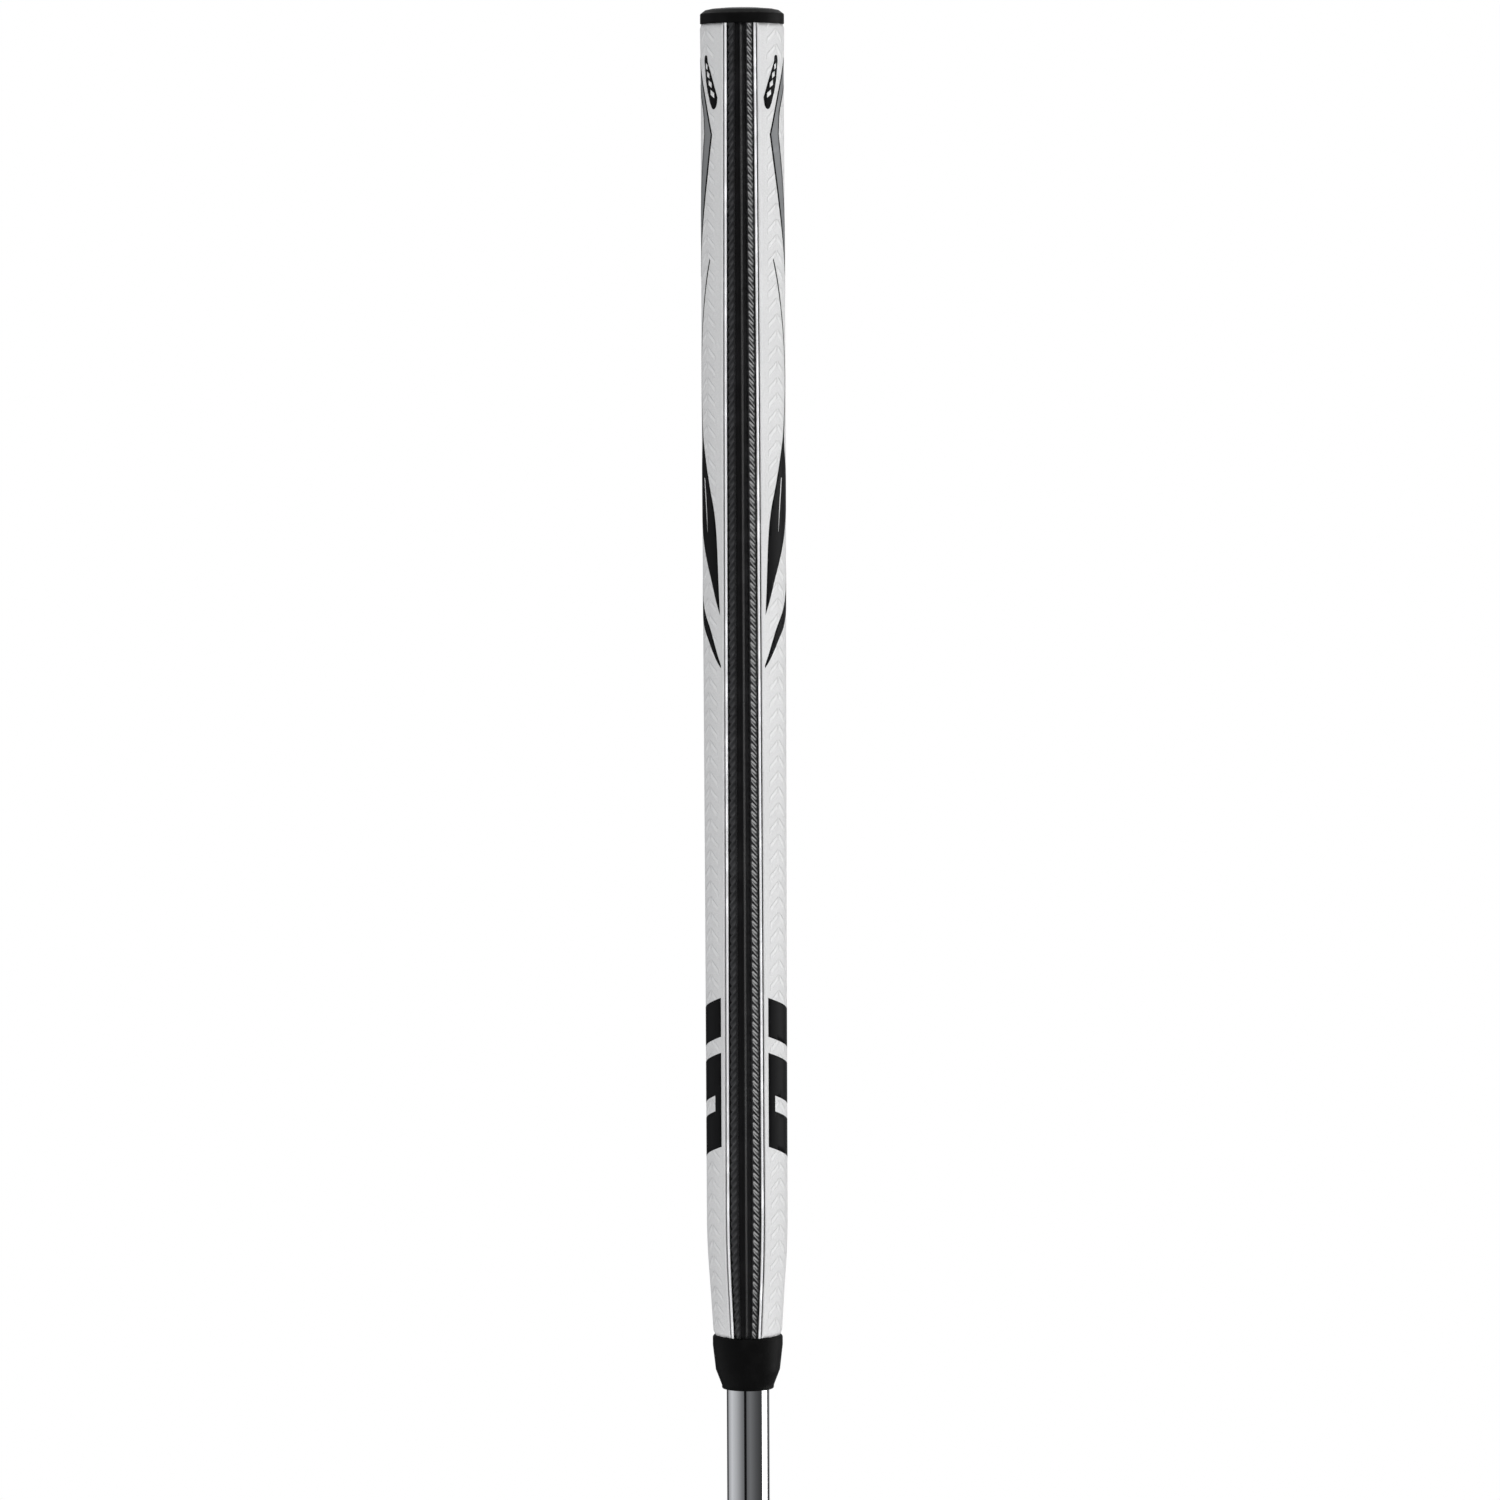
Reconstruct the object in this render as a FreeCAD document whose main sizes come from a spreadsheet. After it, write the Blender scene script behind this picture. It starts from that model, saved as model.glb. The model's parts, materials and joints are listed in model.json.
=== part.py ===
"""A counterbalanced mallet putter, built as separate pieces.

Address pose: the sole rests on the ground plane with its centre at the origin, the striking face
looks along -X, the toe points along +Y and the shaft leans back over the heel, towards -Y.
Lengths are in millimetres and angles in degrees.
"""
import FreeCAD, Part
import math
import os
import re

import Sketcher
from FreeCAD import Placement, Rotation, Vector

SIZES = {
    # the whole club, measured up the shaft's axis from the ground
    "club_length": 965.2,
    "lean_angle": 20,
    # stepped shaft
    "butt_radius": 7.62,
    "below_grip_radius": 6.73,
    "tip_radius": 4.7,
    "shaft_wall": 0.5,
    "step_cone": 1.2,
    "upper_step_start": 150,
    "upper_step_end": 80,
    "lower_step_start": 50,
    "lower_step_end": 60,
    # grip, with stations measured from the butt or from the mouth
    "grip_length": 431.8,
    "cap_depth": 5.3,
    "top_radius": 13.1,
    "upper_radius": 12.9,
    "upper_station": 22,
    "belly_radius": 13.1,
    "belly_station": 123,
    "lower_radius": 12.75,
    "lower_from_mouth": 153,
    "foot_radius": 12.65,
    "foot_from_mouth": 46,
    "shoulder_radius": 11.75,
    "shoulder_from_mouth": 34,
    "wrap_end_radius": 10.7,
    "thumb_flat": 11.2,
    "wrap_thickness": 1.6,
    "tape_thickness": 0.2,
    "tape_short": 2,
    # seam strip and the piping beside it
    "strip_half_top": 3.95,
    "strip_half_belly": 4.45,
    "strip_half_foot": 4.95,
    "strip_half_end": 3.65,
    "piping_width": 0.75,
    "piping_groove": 0.4,
    # badges set in the wrap
    "badge_start": 15.3,
    "badge_length": 15.4,
    "badge_top_half": 0.8,
    "badge_foot_half": 1.45,
    "badge_top_offset": 10.6,
    "badge_foot_offset": 7.9,
    "badge_depth": 0.6,
    "badge_round": 0.85,
    # collar at the mouth
    "collar_length": 17,
    "collar_lip_radius": 11,
    "collar_lip_width": 2.6,
    "collar_lip_bevel": 0.6,
    "collar_waist_radius": 10.1,
    "collar_waist_from_mouth": 6,
    "collar_mouth_radius": 7.8,
    "collar_round": 3,
    # end cap
    "cap_radius": 13.05,
    "cap_hole_radius": 9.2,
    "crown_share": 0.6,
    "crown_drop": 0.2,
    "cap_crown": 0.5,
    "cap_shoulder": 2.2,
    "cap_shoulder_width": 1.6,
    # screw-in counterweight and the sleeve bonded in the butt
    "bond_gap": 0.05,
    "thread_clearance": 0.05,
    "sleeve_flange_radius": 8.4,
    "sleeve_flange": 1,
    "sleeve_length": 26,
    "plug_radius": 5,
    "plug_length": 58,
    "plug_head_side_gap": 0.3,
    "plug_head_edge": 0.9,
    "plug_head_bevel": 0.5,
    "seal_section": 0.3,
    "seal_ring_radius": 6.8,
    "seal_gap": 0.05,
    "key_size": 5,
    "key_depth": 2.6,
    # head body: D-shaped flange, front block and centre rail
    "head_width": 100,
    "face_setback": 39,
    "side_length": 22,
    "head_height": 25,
    "flange_height": 14,
    "sole_relief": 0.6,
    "block_depth": 24,
    "rail_width": 28,
    "rail_height": 21,
    "rail_back": 25,
    "front_corner": 5,
    "crown_round": 2.5,
    "flange_round": 2.5,
    "rail_round": 1.5,
    "sole_bevel": 1.2,
    # face insert and its backing pad
    "insert_length": 76,
    "insert_height": 17,
    "insert_thickness": 4.2,
    "insert_corner": 4,
    "insert_gap": 0.1,
    "backing_thickness": 0.8,
    "score_width": 0.6,
    "score_depth": 0.3,
    "score_pitch": 1.6,
    # sight lines
    "line_width": 1.2,
    "line_depth": 0.5,
    "side_line_length": 19.2,
    "line_length": 32,
    "line_spacing": 8,
    "line_front_gap": 4,
    # sole plate
    "plate_length": 36,
    "plate_width": 46,
    "plate_thickness": 2.6,
    "plate_gap": 0.1,
    "plate_corner": 3,
    "cavity_length": 27,
    "cavity_width": 27,
    "cavity_depth": 8.4,
    "plate_screw_radius": 1.5,
    "plate_screw_head": 2.9,
    "plate_screw_length": 8,
    "plate_screw_recess": 0.3,
    "plate_screw_key": 1.95,
    "plate_screw_key_depth": 1.12,
    "plate_screw_edge": 4.5,
    # adjustable sole weights
    "weight_across": 35.5,
    "weight_behind": -8,
    "weight_radius": 10,
    "weight_head": 2.8,
    "weight_recess": 0.3,
    "weight_shank_radius": 7,
    "weight_shank": 7,
    "weight_side_gap": 0.3,
    "weight_end_gap": 0.7,
    "weight_seal_radius": 8.5,
    "weight_seal_section": 0.4,
    # hosel neck, its screw and the ferrule
    "neck_back": 13.5,
    "neck_across": 26,
    "neck_radius": 6.5,
    "neck_seat": 6,
    "neck_bend": 38,
    "neck_tube": 34,
    "hosel_depth": 26,
    "tip_gap": 0.5,
    "neck_screw_radius": 2.5,
    "neck_screw_hole_gap": 0.25,
    "neck_screw_head": 4.25,
    "neck_screw_key_depth": 2.4,
    "neck_screw_head_length": 4,
    "neck_screw_shoulder": 8,
    "neck_screw_grip": 10,
    "neck_screw_head_gap": 0.35,
    "ferrule_length": 12,
    "ferrule_top_radius": 5.3,
}
UPPER_STEPS = 4
LOWER_STEPS = 9
SCORE_LINES = 9
FUNCTIONS = {"sin", "cos", "tan", "sqrt"}

doc = FreeCAD.newDocument("mallet_putter")
sheet = doc.addObject("Spreadsheet::Sheet", "sizes")
for row, (alias, number) in enumerate(SIZES.items(), start=1):
    sheet.set(f"A{row}", alias)
    sheet.set(f"B{row}", str(number))
    sheet.setAlias(f"B{row}", alias)
doc.recompute()

# heights up the shaft's axis
BUTT = "club_length"
MOUTH = "(club_length - grip_length)"
WRAP_TOP = "(club_length - cap_depth)"
WRAP_END = f"({MOUTH} + collar_length)"
NECK_BEND = "(neck_bend / cos(lean_angle))"
NECK_MOUTH = f"({NECK_BEND} + neck_tube)"
TIP = f"({NECK_MOUTH} - hosel_depth)"
HEAD_FLOOR = f"({BUTT} - cap_depth + sleeve_flange + 2 * (seal_section + seal_gap))"
# places in the head
FACE = "(-face_setback)"
ARC_CENTRE = "(side_length - face_setback)"
HEAD_HALF = "(head_width / 2)"
BLOCK_BACK = "(block_depth - face_setback)"
NECK_X = "(neck_back - face_setback)"
NECK_Y = "(-neck_across)"
WEIGHT_FLOOR = "(sole_relief + weight_recess + weight_head)"
WEIGHT_SHOULDER = f"({WEIGHT_FLOOR} + 2 * (weight_seal_section + seal_gap))"


# ---------------------------------------------------------------- drawing helpers

def sized(text):
    """The sum with every named size looked up in the sheet."""
    def look_up(match):
        word = match.group()
        return word if word in FUNCTIONS else "sizes." + word
    return re.sub(r"[a-z][a-z_]*", look_up, str(text))


def value(text):
    """The sum worked out as a number."""
    result = sheet.evalExpression(sized(text))
    return float(getattr(result, "Value", result))


def bind(thing, setting, text):
    thing.setExpression(setting, sized(text))


def lean(thing, along="0"):
    """Stands the piece on the shaft's axis, a distance along it from the ground."""
    thing.Placement = Placement(Vector(0, 0, 0), Rotation(Vector(1, 0, 0), value("lean_angle")))
    bind(thing, "Placement.Rotation.Angle", "lean_angle")
    bind(thing, "Placement.Base.x", NECK_X)
    bind(thing, "Placement.Base.y", f"{NECK_Y} + neck_bend * tan(lean_angle) - ({along}) * sin(lean_angle)")
    bind(thing, "Placement.Base.z", f"({along}) * cos(lean_angle)")


def put(thing, across, side, up):
    bind(thing, "Placement.Base.x", across)
    bind(thing, "Placement.Base.y", side)
    bind(thing, "Placement.Base.z", up)


def new_body(label, leaning=False):
    body = doc.addObject("PartDesign::Body", label)
    if leaning:
        lean(body)
    return body


def sketch_on(body, role, lift="0"):
    """An empty sketch on one of the body's own origin planes, lifted along its normal."""
    plane = next(item for item in body.Origin.OriginFeatures if item.Role == role)
    sketch = body.newObject("Sketcher::SketchObject", body.Name + "_sketch")
    sketch.AttachmentSupport = (plane, [""])
    sketch.MapMode = "FlatFace"
    bind(sketch, "AttachmentOffset.Base.z", lift)
    return sketch


def pin_down(sketch, curve, end, point):
    """Fixes one end of a curve at a point given as two sums."""
    for axis, kind, text in ((-2, "DistanceX", point[0]), (-1, "DistanceY", point[1])):
        if text == "0":
            sketch.addConstraint(Sketcher.Constraint("PointOnObject", curve, end, axis))
            continue
        rule = Sketcher.Constraint(kind, -1, 1, curve, end, value(text))
        index = sketch.addConstraint(rule)
        sketch.setExpression(f"Constraints[{index}]", sized(text))


def draw(body, role, points, lift="0", arc_after=None, arc_centre=None):
    """A closed outline. The side after point arc_after, if given, is an arc about arc_centre."""
    sketch = sketch_on(body, role, lift)
    spots = [Vector(value(x), value(y), 0) for x, y in points]
    count = len(spots)
    for index, spot in enumerate(spots):
        following = spots[(index + 1) % count]
        if index == arc_after:
            middle = Vector(value(arc_centre), 0, 0)
            circle = Part.Circle(middle, Vector(0, 0, 1), (spot - middle).Length)
            start = math.atan2(spot.y, spot.x - middle.x)
            finish = math.atan2(following.y, following.x - middle.x)
            sketch.addGeometry(Part.ArcOfCircle(circle, start, finish), False)
        else:
            sketch.addGeometry(Part.LineSegment(spot, following), False)
    for index in range(count):
        sketch.addConstraint(Sketcher.Constraint("Coincident", index, 2, (index + 1) % count, 1))
    for index, point in enumerate(points):
        pin_down(sketch, index, 1, point)
    if arc_after is not None:
        rule = Sketcher.Constraint("DistanceX", -1, 1, arc_after, 3, value(arc_centre))
        sketch.setExpression(f"Constraints[{sketch.addConstraint(rule)}]", sized(arc_centre))
    return sketch


def draw_circles(body, role, centres, radius, lift="0"):
    sketch = sketch_on(body, role, lift)
    for index, (x, y) in enumerate(centres):
        circle = Part.Circle(Vector(value(x), value(y), 0), Vector(0, 0, 1), value(radius))
        sketch.addGeometry(circle, False)
        pin_down(sketch, index, 3, (x, y))
        rule = Sketcher.Constraint("Radius", index, value(radius))
        sketch.setExpression(f"Constraints[{sketch.addConstraint(rule)}]", sized(radius))
    return sketch


def rectangle(x_low, x_high, y_low, y_high):
    return [(x_low, y_low), (x_high, y_low), (x_high, y_high), (x_low, y_high)]


def hexagon(across_flats):
    return [(f"{across_flats} / sqrt(3) * cos({60 * k})", f"{across_flats} / sqrt(3) * sin({60 * k})")
            for k in range(6)]


def spin(body, points):
    """A solid of revolution about the body's own Z axis, from (radius, height) points."""
    sketch = draw(body, "XZ_Plane", points)
    turn = body.newObject("PartDesign::Revolution", body.Name + "_spin")
    turn.Profile = sketch
    turn.ReferenceAxis = (sketch, ["V_Axis"])
    turn.Angle = 360
    doc.recompute()
    return turn


def pad(body, sketch, length):
    feature = body.newObject("PartDesign::Pad", body.Name + "_pad")
    feature.Profile = sketch
    bind(feature, "Length", length)
    doc.recompute()
    return feature


def pocket(body, sketch, length=None, towards_normal=False):
    """Cuts the outline out of the body, to a depth or right through."""
    before = body.Shape.Volume
    feature = body.newObject("PartDesign::Pocket", body.Name + "_pocket")
    feature.Profile = sketch
    feature.Reversed = towards_normal
    if length is None:
        feature.Type = "ThroughAll"
    else:
        bind(feature, "Length", length)
    doc.recompute()
    if body.Shape.Volume > before - 1e-3:
        raise RuntimeError(f"{body.Label}: a pocket removes nothing")
    return feature


def soften(body, test, size, kind="Fillet"):
    """Rounds or bevels the edges of the body's last feature that pass the test."""
    tip = body.Tip
    names = [f"Edge{k}" for k, edge in enumerate(tip.Shape.Edges, start=1) if test(edge)]
    feature = body.newObject("PartDesign::" + kind, body.Name + "_" + kind.lower())
    feature.Base = (tip, names)
    bind(feature, "Radius" if kind == "Fillet" else "Size", size)
    doc.recompute()
    return feature


def at(number, text):
    return abs(number - value(text)) < 1e-4


def boolean(kind, label, base, tool):
    feature = doc.addObject("Part::" + kind, label)
    feature.Base = base
    feature.Tool = tool
    doc.recompute()
    return feature


def group(label, pieces):
    """Several like solids that share one node."""
    feature = doc.addObject("Part::Compound", label)
    feature.Links = pieces
    return feature


# ---------------------------------------------------------------- shaft and tape

def step_points(extra, top, start, finish, steps, radius_from, radius_to):
    """The outline of one stepped stretch, walked downwards, grown sideways by extra."""
    points = [(f"{radius_from} + {extra}", top)] if top else []
    for k in range(steps):
        height = f"{start} - ({start} - {finish}) * {k} / {steps - 1}"
        upper = f"{radius_from} - ({radius_from} - {radius_to}) * {k} / {steps} + {extra}"
        lower = f"{radius_from} - ({radius_from} - {radius_to}) * {k + 1} / {steps} + {extra}"
        points += [(upper, height), (lower, f"{height} - step_cone")]
    return points


def upper_shaft(extra, top, foot):
    """The shaft's outline inside the grip."""
    points = step_points(extra, top, f"({BUTT} - upper_step_start)", f"({MOUTH} + upper_step_end)",
                         UPPER_STEPS, "butt_radius", "below_grip_radius")
    return points + [(f"below_grip_radius + {extra}", foot)]


def lower_shaft(extra):
    """The shaft's outline from the grip's mouth to its tip."""
    finish = f"({NECK_MOUTH} + ferrule_length + lower_step_end)"
    points = step_points(extra, None, f"({MOUTH} - lower_step_start)", finish,
                         LOWER_STEPS, "below_grip_radius", "tip_radius")
    return points + [(f"tip_radius + {extra}", TIP + " + tip_gap")]


def make_shaft():
    body = new_body("shaft", leaning=True)
    outside = upper_shaft("0", WRAP_TOP, MOUTH)[:-1] + lower_shaft("0")
    inside = upper_shaft("-shaft_wall", WRAP_TOP, MOUTH)[:-1] + lower_shaft("-shaft_wall")
    spin(body, outside + inside[::-1])
    return body


def make_tape():
    body = new_body("grip_tape", leaning=True)
    foot = f"{MOUTH} + tape_short"
    outside = upper_shaft("tape_thickness", WRAP_TOP, foot)
    spin(body, outside + upper_shaft("0", WRAP_TOP, foot)[::-1])
    return body


# ---------------------------------------------------------------- grip

def grip_side(inset):
    """The grip's outline from the cap down to the collar, drawn in by inset."""
    stations = [
        ("top_radius", WRAP_TOP),
        ("upper_radius", f"{BUTT} - upper_station"),
        ("belly_radius", f"{BUTT} - belly_station"),
        ("lower_radius", f"{MOUTH} + lower_from_mouth"),
        ("foot_radius", f"{MOUTH} + foot_from_mouth"),
        ("shoulder_radius", f"{MOUTH} + shoulder_from_mouth"),
        ("wrap_end_radius", WRAP_END),
    ]
    return [(f"{radius} - {inset}", height) for radius, height in stations]


def cut_thumb_flat(body, inset):
    edge = "2 * belly_radius"
    outline = rectangle(f"-{edge}", edge, "0", BUTT)
    flat = draw(body, "XZ_Plane", outline, lift=f"{inset} - thumb_flat")
    pocket(body, flat)


def grip_form(label, inset):
    """The solid bounded by the grip's surface, drawn in by inset."""
    body = new_body(label, leaning=True)
    spin(body, [("0", WRAP_TOP)] + grip_side(inset) + [("0", WRAP_END)])
    cut_thumb_flat(body, inset)
    return body


def seam_tool(label, extra):
    """A block that takes in the seam strip and a margin each side of it."""
    body = new_body(label, leaning=True)
    halves = [
        ("strip_half_top", WRAP_TOP),
        ("strip_half_belly", f"{BUTT} - belly_station"),
        ("strip_half_foot", f"{MOUTH} + foot_from_mouth"),
        ("strip_half_end", WRAP_END),
    ]
    right = [(f"{half} + {extra}", height) for half, height in halves]
    left = [(f"-({half} + {extra})", height) for half, height in halves]
    pad(body, draw(body, "XZ_Plane", right + left[::-1]), "2 * belly_radius")
    return body


def badge_tool(label, side):
    """A tapered block with round ends that cuts one badge out of the grip's surface."""
    body = new_body(label, leaning=True)
    top = f"{BUTT} - badge_start"
    foot = f"{BUTT} - badge_start - badge_length"
    corners = [
        (f"{side} * (badge_top_offset - badge_top_half)", top),
        (f"{side} * (badge_top_offset + badge_top_half)", top),
        (f"{side} * (badge_foot_offset + badge_foot_half)", foot),
        (f"{side} * (badge_foot_offset - badge_foot_half)", foot),
    ]
    pad(body, draw(body, "XZ_Plane", corners), "2 * belly_radius")
    middle = value(top) - value("badge_length") / 2
    soften(body, lambda edge: level(edge) and edge.CenterOfMass.z < middle, "badge_foot_half * badge_round")
    soften(body, lambda edge: level(edge) and edge.CenterOfMass.z > middle, "badge_top_half * badge_round")
    return body


def level(edge):
    """Whether a straight edge runs from front to back."""
    return edge.Curve.TypeId == "Part::GeomLine" and abs(edge.tangentAt(edge.FirstParameter).y) > 0.999


def make_grip():
    surface = grip_form("grip_surface", "0")
    badge_floor = grip_form("badge_floor", "badge_depth")
    core_surface = grip_form("core_surface", "wrap_thickness")
    skin = boolean("Cut", "grip_skin", surface, core_surface)
    opening = seam_tool("wrap_opening", "piping_width + piping_groove")
    piping_block = seam_tool("piping_block", "piping_width")
    strip_block = seam_tool("strip_block", "0")
    thin_skin = boolean("Cut", "badge_skin", surface, badge_floor)
    left_badge = boolean("Common", "left_badge", thin_skin, badge_tool("left_badge_block", "-1"))
    right_badge = boolean("Common", "right_badge", thin_skin, badge_tool("right_badge_block", "1"))
    badges = group("grip_badges", [left_badge, right_badge])
    open_wrap = boolean("Cut", "open_wrap", skin, opening)
    left_pocketed = boolean("Cut", "pocketed_wrap", open_wrap, left_badge)
    wrap = boolean("Cut", "grip_wrap", left_pocketed, right_badge)
    strip = boolean("Common", "seam_strip", skin, strip_block)
    both_strips = boolean("Common", "seam_skin", skin, piping_block)
    piping = boolean("Cut", "seam_piping", both_strips, strip_block)
    core = new_body("grip_core", leaning=True)
    bore = upper_shaft("tape_thickness", WRAP_TOP, WRAP_END)
    spin(core, grip_side("wrap_thickness") + bore[::-1])
    cut_thumb_flat(core, "wrap_thickness")
    return [core, wrap, strip, piping, badges]


def make_end_cap():
    body = new_body("grip_end_cap", leaning=True)
    spin(body, [
        ("cap_hole_radius", WRAP_TOP),
        ("cap_radius", WRAP_TOP),
        ("cap_radius", f"{BUTT} - cap_shoulder"),
        ("cap_radius - cap_shoulder_width", f"{BUTT} - 2 * cap_crown"),
        ("cap_hole_radius", f"{BUTT} - cap_crown"),
    ])
    cut_thumb_flat(body, "0")
    return body


def make_collar():
    body = new_body("grip_collar", leaning=True)
    bore = "below_grip_radius + tape_thickness"
    spin(body, [
        (bore, WRAP_END),
        ("collar_lip_radius - collar_lip_bevel", WRAP_END),
        ("collar_lip_radius", f"{WRAP_END} - collar_lip_bevel"),
        ("collar_lip_radius", f"{WRAP_END} - collar_lip_bevel - collar_lip_width"),
        ("collar_waist_radius", f"{MOUTH} + collar_waist_from_mouth"),
        ("(collar_waist_radius + collar_mouth_radius) / 2", f"{MOUTH} + collar_round"),
        ("collar_mouth_radius", MOUTH),
        (bore, MOUTH),
    ])
    return body


# ---------------------------------------------------------------- counterweight

def make_butt_sleeve():
    body = new_body("butt_sleeve", leaning=True)
    bore = "plug_radius + thread_clearance"
    outside = "butt_radius - shaft_wall - bond_gap"
    spin(body, [
        (bore, f"{WRAP_TOP} + sleeve_flange"),
        ("sleeve_flange_radius", f"{WRAP_TOP} + sleeve_flange"),
        ("sleeve_flange_radius", WRAP_TOP),
        (outside, WRAP_TOP),
        (outside, f"{WRAP_TOP} - sleeve_length"),
        (bore, f"{WRAP_TOP} - sleeve_length"),
    ])
    return body


def make_counterweight():
    body = new_body("counterweight", leaning=True)
    rim = "cap_hole_radius - plug_head_side_gap"
    spin(body, [
        ("0", BUTT),
        (f"({rim}) * crown_share", f"{BUTT} - crown_drop"),
        (f"{rim} - plug_head_bevel", f"{BUTT} - cap_crown"),
        (rim, f"{BUTT} - plug_head_edge"),
        (rim, HEAD_FLOOR),
        ("plug_radius", HEAD_FLOOR),
        ("plug_radius", f"{HEAD_FLOOR} - plug_length"),
        ("0", f"{HEAD_FLOOR} - plug_length"),
    ])
    pocket(body, draw(body, "XY_Plane", hexagon("key_size"), lift=BUTT), "key_depth")
    return body


def make_seal(label, ring, section):
    seal = doc.addObject("Part::Torus", label)
    bind(seal, "Radius1", ring)
    bind(seal, "Radius2", section)
    return seal


def make_butt_seal():
    seal = make_seal("counterweight_seal", "seal_ring_radius", "seal_section")
    lean(seal, along=f"{HEAD_FLOOR} - seal_section - seal_gap")
    return seal


# ---------------------------------------------------------------- head

def d_outline():
    """The head's plan: a straight face, short sides and a half-round back."""
    half = HEAD_HALF
    return [(FACE, f"-{half}"), (ARC_CENTRE, f"-{half}"), (ARC_CENTRE, half), (FACE, half)]


def make_head_body():
    body = new_body("head_body")
    plan = draw(body, "XY_Plane", d_outline(), "sole_relief", arc_after=1, arc_centre=ARC_CENTRE)
    pad(body, plan, "flange_height - sole_relief")
    soften(body, lambda edge: lies_level(edge, "flange_height") and rim_edge(edge), "flange_round")
    block = rectangle(FACE, BLOCK_BACK, f"-{HEAD_HALF}", HEAD_HALF)
    pad(body, draw(body, "XY_Plane", block, "sole_relief"), "head_height - sole_relief")
    rail = rectangle(f"{BLOCK_BACK} - 1", "rail_back", "-rail_width / 2", "rail_width / 2")
    pad(body, draw(body, "XY_Plane", rail, "flange_height - 1"), "rail_height - flange_height + 1")

    soften(body, front_corner_edge, "front_corner")
    soften(body, lambda edge: lies_level(edge, "head_height"), "crown_round")
    soften(body, lambda edge: lies_level(edge, "rail_height") and behind_block(edge), "rail_round")
    soften(body, lambda edge: lies_level(edge, "sole_relief"), "sole_bevel", "Chamfer")

    depth = "insert_thickness + backing_thickness"
    recess = insert_outline("insert_gap")
    pocket(body, draw(body, "YZ_Plane", recess, f"{FACE} + {depth}"), depth + " + 1")
    soften(body, lambda edge: insert_corner_edge(edge, "insert_gap"), "insert_corner + insert_gap")
    cut_sole(body)
    cut_neck_seat(body)
    for y, length in sight_line_rows():
        pocket(body, draw(body, "XY_Plane", sight_line_outline(y, length), "rail_height"), "line_depth")
    return body


def front_corner_edge(edge):
    upright = abs(edge.tangentAt(edge.FirstParameter).z) > 0.999
    return upright and at(edge.CenterOfMass.x, FACE)


def lies_level(edge, height):
    box = edge.BoundBox
    return at(box.ZMin, height) and at(box.ZMax, height)


def rim_edge(edge):
    """Whether an edge belongs to the sides or the half-round back, not to the face."""
    return edge.BoundBox.XMax > value(FACE) + 1


def behind_block(edge):
    """Whether an edge stands clear of the block's back wall, or runs away from it."""
    return edge.BoundBox.XMax > value(BLOCK_BACK) + 1


def insert_outline(gap):
    """The insert's outline on the face, from (across, up) points."""
    low = "(head_height + sole_relief - insert_height) / 2"
    high = "(head_height + sole_relief + insert_height) / 2"
    half = "insert_length / 2"
    return rectangle(f"-({half} + {gap})", f"{half} + {gap}", f"{low} - {gap}", f"{high} + {gap}")


def insert_corner_edge(edge, gap):
    along = abs(edge.tangentAt(edge.FirstParameter).x) > 0.999
    return along and at(abs(edge.CenterOfMass.y), f"insert_length / 2 + {gap}")


def cut_sole(body):
    """The sole plate's recess, the cavity above it, its screw holes and the weights' bores."""
    plate = rectangle("-plate_length / 2 - plate_gap", "plate_length / 2 + plate_gap",
                      "-plate_width / 2 - plate_gap", "plate_width / 2 + plate_gap")
    pocket(body, draw(body, "XY_Plane", plate), "plate_thickness", True)
    soften(body, lambda edge: plate_corner_edge(edge, "plate_gap"), "plate_corner + plate_gap")
    cavity = rectangle("-cavity_length / 2", "cavity_length / 2", "-cavity_width / 2", "cavity_width / 2")
    pocket(body, draw(body, "XY_Plane", cavity), "plate_thickness + cavity_depth", True)
    holes = draw_circles(body, "XY_Plane", plate_screw_spots(), "plate_screw_radius")
    pocket(body, holes, "plate_screw_length + 1", True)
    spots = [("weight_behind", "weight_across"), ("weight_behind", "-weight_across")]
    wide = draw_circles(body, "XY_Plane", spots, "weight_radius + weight_side_gap")
    pocket(body, wide, WEIGHT_SHOULDER, True)
    narrow = draw_circles(body, "XY_Plane", spots, "weight_shank_radius + thread_clearance")
    pocket(body, narrow, f"{WEIGHT_FLOOR} + weight_shank + weight_end_gap", True)


def plate_corner_edge(edge, gap):
    upright = abs(edge.tangentAt(edge.FirstParameter).z) > 0.999
    middle = edge.CenterOfMass
    return upright and at(abs(middle.x), f"plate_length / 2 + {gap}") \
        and at(abs(middle.y), f"plate_width / 2 + {gap}")


def plate_screw_spots():
    x = "(plate_length / 2 - plate_screw_edge)"
    y = "(plate_width / 2 - plate_screw_edge)"
    return [(x, y), (f"-{x}", y), (f"-{x}", f"-{y}"), (x, f"-{y}")]


def cut_neck_seat(body):
    """The seat for the neck in the crown and the stepped hole for its screw below."""
    spot = [(NECK_X, NECK_Y)]
    seat = draw_circles(body, "XY_Plane", spot, "neck_radius + bond_gap", "head_height")
    pocket(body, seat, "neck_seat")
    hole = draw_circles(body, "XY_Plane", spot, "neck_screw_radius + neck_screw_hole_gap")
    pocket(body, hole, "head_height", True)
    sink = draw_circles(body, "XY_Plane", spot, "neck_screw_head + neck_screw_head_gap")
    pocket(body, sink, "neck_screw_shoulder", True)


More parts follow.
